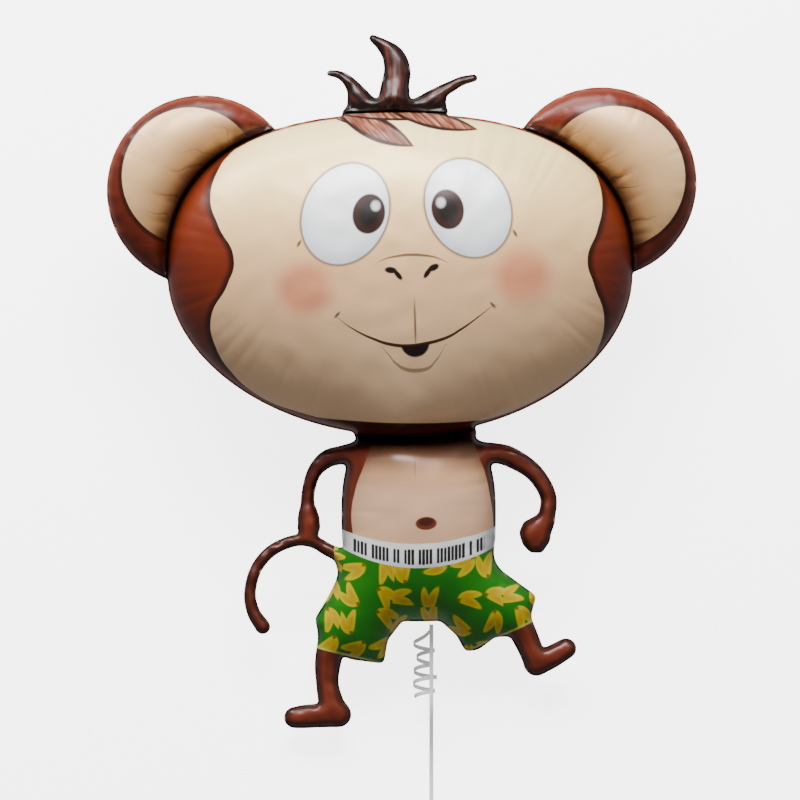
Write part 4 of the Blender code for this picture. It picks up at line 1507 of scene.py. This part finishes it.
@dataclass
class Studio:
    """White room: floor, soft lights and a long lens square to the seam plane."""

    posture: Posture
    distance: float = 11.0
    across: float = 1.20
    aim: Point = spot(402, 160)
    floor_glow: float = 4.0
    floor_reach: float = 26.0
    flat_reach: float = 15.0
    wall_bend: float = 14.0
    floor_points: int = 81
    floor_gap: float = 0.0004
    daylight: float = 0.25

    def build(self) -> None:
        """Floor, lights, world and camera."""
        self.floor()
        self.camera()
        self.lights()

    def floor(self) -> None:
        """A pale floor that rises far away: by the square of the distance past its flat reach."""
        count = self.floor_points
        across, up = np.meshgrid(*[np.linspace(-self.floor_reach, self.floor_reach, count)] * 2)
        rise = np.maximum(np.hypot(across, up) - self.flat_reach, 0) ** 2 / self.wall_bend
        index = np.arange(count * count).reshape(count, count)
        corners = (index[:-1, :-1], index[:-1, 1:], index[1:, 1:], index[1:, :-1])
        points = np.column_stack([across.ravel(), up.ravel(), rise.ravel()])
        floor = link_mesh("floor", points, np.stack(corners, -1).reshape(-1, 4).tolist())
        material, _, shader = new_material("floor_white")
        set_inputs(shader, {
            "Base Color": (0.93, 0.93, 0.93, 1.0),
            "Roughness": 0.9,
            "Emission Color": WHITE_LIGHT,
            "Emission Strength": self.floor_glow,
        })
        floor.data.materials.append(material)
        floor.location.z = -self.floor_gap
        floor.visible_glossy = False
        floor.visible_diffuse = False

    def camera(self) -> None:
        """The camera, level with the seam plane's middle and square to it."""
        data = bpy.data.cameras.new("camera")
        data.sensor_width = 36.0
        data.lens = 36.0 * self.distance / self.across
        data.clip_end = 100.0
        camera = bpy.data.objects.new("camera", data)
        target = Vector(self.posture.to_world(np.array([[self.aim[0], self.aim[1], 0.0]]))[0].tolist())
        out, up = self.posture.outward(), self.posture.upward()
        turn = Matrix((Vector((1, 0, 0)), up, out)).transposed()
        camera.matrix_world = Matrix.Translation(target + out * self.distance) @ turn.to_4x4()
        bpy.context.collection.objects.link(camera)
        bpy.context.scene.camera = camera

    def area(self, name: str, place: Sequence[float], size: Point, power: float) -> None:
        """A soft rectangular light that faces the balloon."""
        data = bpy.data.lights.new(name, "AREA")
        data.shape = "RECTANGLE"
        data.size, data.size_y = size
        data.energy = power
        light = bpy.data.objects.new(name, data)
        light.location = place
        light.rotation_euler = (Vector(place) - Vector((0, 0.05, 0.1))).to_track_quat("Z", "Y").to_euler()
        bpy.context.collection.objects.link(light)

    def lights(self) -> None:
        """A key and a low key from above the hair, lights from the left and the right, and a white world.
        """
        self.area("key", (-0.1, 2.3, 2.6), (2.6, 1.3), 245)
        self.area("low_key", (-0.9, 3.0, 1.0), (3.4, 0.8), 95)
        self.area("left", (-2.3, 2.2, 0.8), (0.9, 1.8), 52)
        self.area("right", (2.5, 1.5, 1.3), (0.9, 1.8), 8)
        world = bpy.data.worlds.new("studio")
        world.use_nodes = True
        set_inputs(world.node_tree.nodes["Background"], {"Color": WHITE_LIGHT, "Strength": self.daylight})
        bpy.context.scene.world = world


def main() -> None:
    """Load the frame, then build, dress and attach each piece, and set up the studio."""
    logging.basicConfig(level=logging.INFO, format="%(message)s")
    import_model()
    posture = Posture()
    skin = BalloonSkin(posture).build()
    skin.data.materials.append(PrintedFoil().material())
    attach(skin, "root")
    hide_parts("foil_balloon")
    Ribbon().build(RibbonFilm().material())
    Studio(posture).build()


if __name__ == "__main__":
    main()
